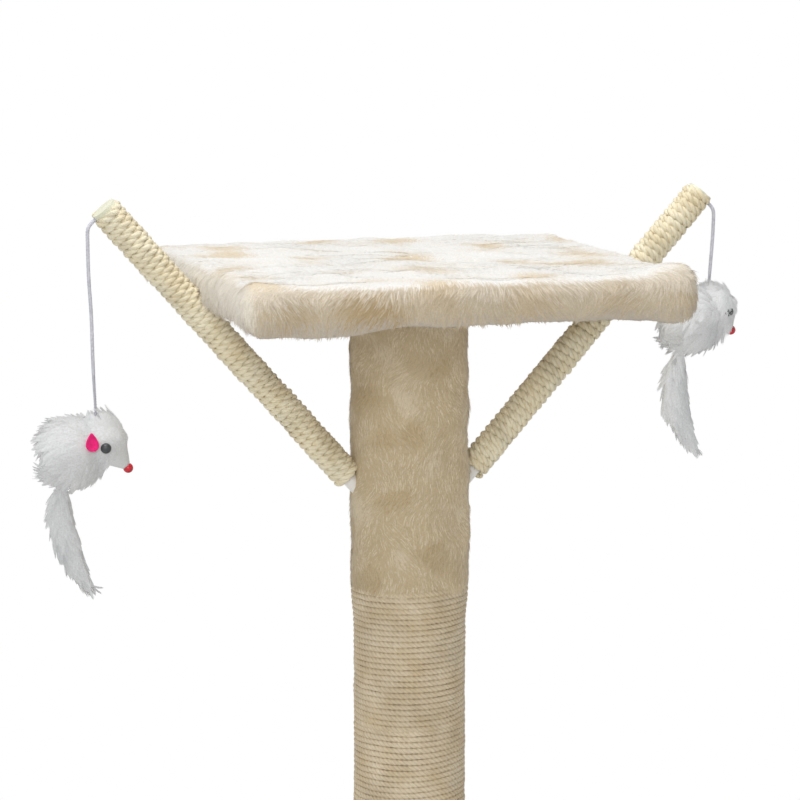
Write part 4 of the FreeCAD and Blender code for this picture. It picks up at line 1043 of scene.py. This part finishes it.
def make_mouse(side_name, seed, shaggy, pale):
    """A stuffed mouse: skin, felt ears, fur and tail. A shaggy one has its ears and eyes in the fur."""
    rng = np.random.default_rng(seed)
    body = f"{side_name}_mouse"
    lateral = np.array(JOINTS[f"{side_name}_tail_flop"]["axis"], float)
    forward = np.cross(lateral, UP)
    stuffed = (f"{side_name}_mouse_body", f"{side_name}_mouse_head")
    points, faces = soft_skin(stuffed, 1.1 * MM, 12)
    skin = mesh_object(f"{side_name}_mouse_skin", points, [faces], WHITE_BACKING)
    finish_piece(skin, body, "white_fur", *stuffed)
    set_tint(skin, np.tile(FUR_WHITE, (len(points), 1)))
    ears = node_points(f"{side_name}_mouse_ears")
    middle = ears.mean(0)
    for label, side in (("near", -1), ("far", 1)):
        cloud = ears[(ears - middle) @ lateral * side > 0]
        stand, curl = (-2.6 * MM, 0.2) if shaggy else (2.2 * MM, 1.0)
        petal = ear_petal(f"{side_name}_mouse_{label}_ear", cloud, lateral * side, stand, curl, body)
        if side < 0:
            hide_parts(f"{side_name}_mouse_ears")
    make_mouse_fur(side_name, (points, faces), forward, lateral, rng, seed, shaggy, pale)
    make_tail(side_name, forward, lateral, rng, seed, pale)


def make_mouse_fur(side_name, skin, forward, lateral, rng, seed, shaggy, pale):
    """A mouse's fur: long behind and below, short on the snout, upright at its crest and by the cord."""
    knot = joint_point(side_name, "mouse_spin")
    back = knot + BACK_RISE * UP
    count = MOUSE_HAIRS
    roots, facing = scatter(*skin, count, rng)
    local = np.stack([(roots - back) @ forward, (roots - back) @ lateral, roots[:, 2] - back[2]], 1)
    head = smooth_step(-4 * MM, 8 * MM, local[:, 0])
    snout = smooth_step(9 * MM, 17 * MM, local[:, 0] * 0.75 - local[:, 2] * 0.66 - 11 * MM)
    rear = smooth_step(-10 * MM, -28 * MM, local[:, 0])
    above = smooth_step(0.1, 0.8, facing[:, 2])
    under = smooth_step(0.0, -0.7, facing[:, 2]) * (1 - snout)
    crest = np.exp(-((local[:, 0] - 8 * MM) ** 2 + local[:, 1] ** 2) / (8 * MM) ** 2)
    crest = crest * smooth_step(0.1, 0.6, facing[:, 2])
    crest = crest * (0.2 if shaggy else 1.0)
    jaw = under * np.exp(-((local[:, 0] - 8 * MM) / (7 * MM)) ** 2)
    tent = np.exp(-(np.linalg.norm(roots - back, axis=1) / (7 * MM)) ** 2)
    length = 0.0085 + 0.0045 * rear + 0.0035 * above * (1 - head) + 0.004 * under
    length = length - (0.001 if shaggy else 0.0045) * head * (1 - crest) * (1 - under)
    length = (length + 0.008 * crest + 0.003 * jaw) * (1 - 0.7 * snout)
    kept_short = ("nose",) if shaggy else ("eyes", "nose", "ears")
    bare = np.concatenate([node_points(f"{side_name}_mouse_{part}") for part in kept_short])
    _, near = nearest(bare, roots)
    _, off_eyes = nearest(node_points(f"{side_name}_mouse_eyes"), roots)
    fluff = smooth_step(9 * MM, 2 * MM, off_eyes) * shaggy
    length = length + 0.001 * fluff
    length = length * (0.22 + 0.78 * smooth_step(0.5 * MM, 7 * MM, near)) * rng.uniform(0.75, 1.2, count)
    fall = 0.7 + 0.35 * head[:, None] - 0.5 * above[:, None]
    flow = -forward * (1.0 - 0.4 * head[:, None]) - UP * fall
    flow = flow + 0.5 * waves(roots, 0.02, seed + 1)[:, None] * np.cross(facing, forward)
    flow = flow * (1 - crest[:, None]) + (0.3 * forward + UP) * crest[:, None]
    flow = flow + 2.5 * tent[:, None] * unit(back + 6 * MM * UP - roots)
    lift = 0.24 + 0.14 * rear + 0.2 * above * (1 - head) + 0.35 * crest + 0.2 * under
    lift = lift + 0.3 * jaw + 0.2 * tent + 0.06 * fluff
    clump = 0.5 + 0.4 * np.maximum(crest, 1 - head)
    lines = grow(roots, facing, flow, length, lift, 0.09, clump[:, None], rng, 45, SHORT_HAIR)
    off_cord = np.linalg.norm(lines[..., :2] - knot[:2], axis=2).min(1)
    keep = (near > 0.6 * MM) & (np.linalg.norm(roots - knot, axis=1) > 4 * MM)
    keep &= (off_cord > CORD_RADIUS + 1.2 * MM) | (facing[:, 2] < 0)
    grey = smooth_step(0.2, 1.6, waves(roots, 0.016, seed + 2))
    # pale scales the fur's tint; on the right mouse it is painted light, brightening fur that its lamps leave
    # greyer.
    tints = pale * mix(FUR_WHITE, FUR_GREY, 0.5 * grey) * rng.uniform(0.95, 1.04, (count, 1))
    # The 0.92 is the painted shade at the hairs' roots.
    fur = fur_object(f"{side_name}_mouse_fur", lines[keep], facing[keep], FINE_HAIR, tints[keep], 0.92,
                     WHITE_FUR, rng, True)
    finish_piece(fur, f"{side_name}_mouse", "white_fur")


def make_tail(side_name, forward, lateral, rng, seed, pale):
    """The tail: a strip of long pile whose hairs run down it, ragged behind and at its tip."""
    body, node = f"{side_name}_tail", f"{side_name}_mouse_tail"
    points, faces = soft_skin((node,), 0.8 * MM, 4)
    hang = (points[:, 2].max() - points[:, 2]) / np.ptp(points[:, 2])
    bend = TAIL_SETTLE[side_name] * hang ** 2 + TAIL_BOW[side_name] * np.sin(math.pi * hang)
    ahead = points @ forward
    aside = ahead - np.polyval(np.polyfit(hang, ahead, 3), hang)
    points = points + np.outer((TAIL_SPREAD[side_name] - 1) * aside - bend, forward)
    skin = mesh_object(f"{side_name}_mouse_tail_skin", points, [faces], WHITE_BACKING)
    finish_piece(skin, body, "white_fur", node)
    set_tint(skin, np.tile(FUR_GREY, (len(points), 1)))
    low, high = points[:, 2].min(), points[:, 2].max()
    count = TAIL_HAIRS
    roots, facing = scatter(points, faces, count, rng)
    share = (high - roots[:, 2]) / (high - low)
    slope = TAIL_ROOT_SLOPE + (TAIL_TIP_SLOPE - TAIL_ROOT_SLOPE) * share
    run = -UP + slope[:, None] * forward
    behind = smooth_step(0.2, -0.9, facing @ forward)
    sideways = 0.2 * waves(roots, 0.02, seed + 7)[:, None] * lateral
    flow = run - 0.25 * behind[:, None] * forward + sideways
    length = (0.012 + 0.003 * behind) * rng.uniform(0.65, 1.2, count)
    lift = 0.16 + 0.12 * behind
    lines = grow(roots, facing, flow, length, lift, 0.07, 0.8, rng, 18)
    keep = (lines[:, :, 2].max(1) < high + 0.0004) & ((facing * unit(run)).sum(1) < 0.75)
    grey = smooth_step(-0.3, 1.5, waves(roots, 0.02, seed + 8))
    # pale scales the tail's tint; on the right mouse it is painted light, brightening fur that its lamps
    # leave greyer.
    tints = pale * mix(FUR_WHITE, FUR_GREY, 0.3 + 0.6 * grey) * rng.uniform(0.95, 1.04, (count, 1))
    # The 0.88 is the painted shade at the hairs' roots.
    fur = fur_object(f"{side_name}_mouse_tail_fur", lines[keep], facing[keep], TAIL_HAIR, tints[keep], 0.88,
                     WHITE_FUR, rng, True)
    finish_piece(fur, body, "white_fur")


# The last argument scales the fur's tint: the right mouse's 1.22 is painted light, so its fur looks as
# brightly lit as the left one's.
make_mouse("left", 201, False, 1.02)
make_mouse("right", 231, True, 1.22)


# Finishes of the CAD pieces that stay, and rounded edges on the moulded ones

for node in NODES.values():
    slots = node.data.materials
    for place, old in enumerate(slots):
        if old.name in NODE_MATERIALS:
            slots[place] = NODE_MATERIALS[old.name]
for side_label, _ in SIDES:
    plug = NODES[f"{side_label}_tip_plug"]
    joined = plug.modifiers.new("joined", "WELD")
    joined.merge_threshold = WELD_REACH
    rounded = plug.modifiers.new("rounded", "BEVEL")
    rounded.width, rounded.segments, rounded.limit_method = 0.9 * MM, 3, "ANGLE"


# Floor, light and background

FLOOR_HALF, FADE_START, FADE_END = 30, 0.34, 0.75


def make_stage():
    """A pale floor that keeps the object's shadow and fades into the white background."""
    floor_material, tree, shader = new_material("pale_floor", 0.9)
    where = object_coordinates(tree)
    mottle = ramp(tree, noise(tree, where, 30, 3), ((0.3, (238, 238, 237)), (0.7, (244, 244, 243))))
    paint(tree, shader, mottle)
    glow = add_node(tree, "ShaderNodeEmission", {"Color": (1, 1, 1, 1), "Strength": 1.0})
    seen = seen_directly(tree)
    distance = add_node(tree, "ShaderNodeVectorMath", {0: where}, operation="LENGTH").outputs["Value"]
    far = add_node(tree, "ShaderNodeMapRange", {
        "Value": distance, "From Min": FADE_START, "From Max": FADE_END},
        interpolation_type="SMOOTHSTEP").outputs["Result"]
    share = compute(tree, "MULTIPLY", seen, far)
    blended = add_node(tree, "ShaderNodeMixShader", {
        0: share, 1: shader.outputs["BSDF"], 2: glow.outputs["Emission"]})
    tree.links.new(blended.outputs["Shader"], tree.nodes["Material Output"].inputs["Surface"])
    corners = FLOOR_HALF * np.array(((-1.0, -1, 0), (1, -1, 0), (1, 1, 0), (-1, 1, 0)))
    mesh_object("floor", corners, [np.array(((0, 1, 2, 3),))], floor_material)


def seen_directly(tree):
    """1 for rays that show the background: straight from the camera, mirrored or through glass."""
    rays = add_node(tree, "ShaderNodeLightPath").outputs
    direct = compute(tree, "MAXIMUM", rays["Is Camera Ray"], rays["Is Glossy Ray"])
    return compute(tree, "MAXIMUM", direct, rays["Is Transmission Ray"])


def make_world():
    world = bpy.data.worlds.new("studio")
    world.use_nodes = True
    tree = world.node_tree
    tree.nodes.clear()
    room = add_node(tree, "ShaderNodeBackground", {"Color": (1.0, 0.995, 0.985, 1), "Strength": 0.42})
    white = add_node(tree, "ShaderNodeBackground", {"Color": (1, 1, 1, 1), "Strength": 1.0})
    both = add_node(tree, "ShaderNodeMixShader", {
        0: seen_directly(tree), 1: room.outputs["Background"], 2: white.outputs["Background"]})
    output = add_node(tree, "ShaderNodeOutputWorld")
    tree.links.new(both.outputs["Shader"], output.inputs["Surface"])
    bpy.context.scene.world = world


def add_area_light(name, place, target, size, power):
    data = bpy.data.lights.new(name, "AREA")
    data.shape, data.size, data.energy = "DISK", size, power
    link_facing(data, place, Vector(place) - Vector(target))


make_stage()
make_world()
add_area_light("top_light", (-0.4, -0.3, 2.6), (0, 0, 0.5), 1.6, 33)
add_area_light("front_light", (-1.2, -2.5, 1.5), (0, 0, 0.55), 1.4, 24)
bpy.context.scene.view_settings.view_transform = "Standard"
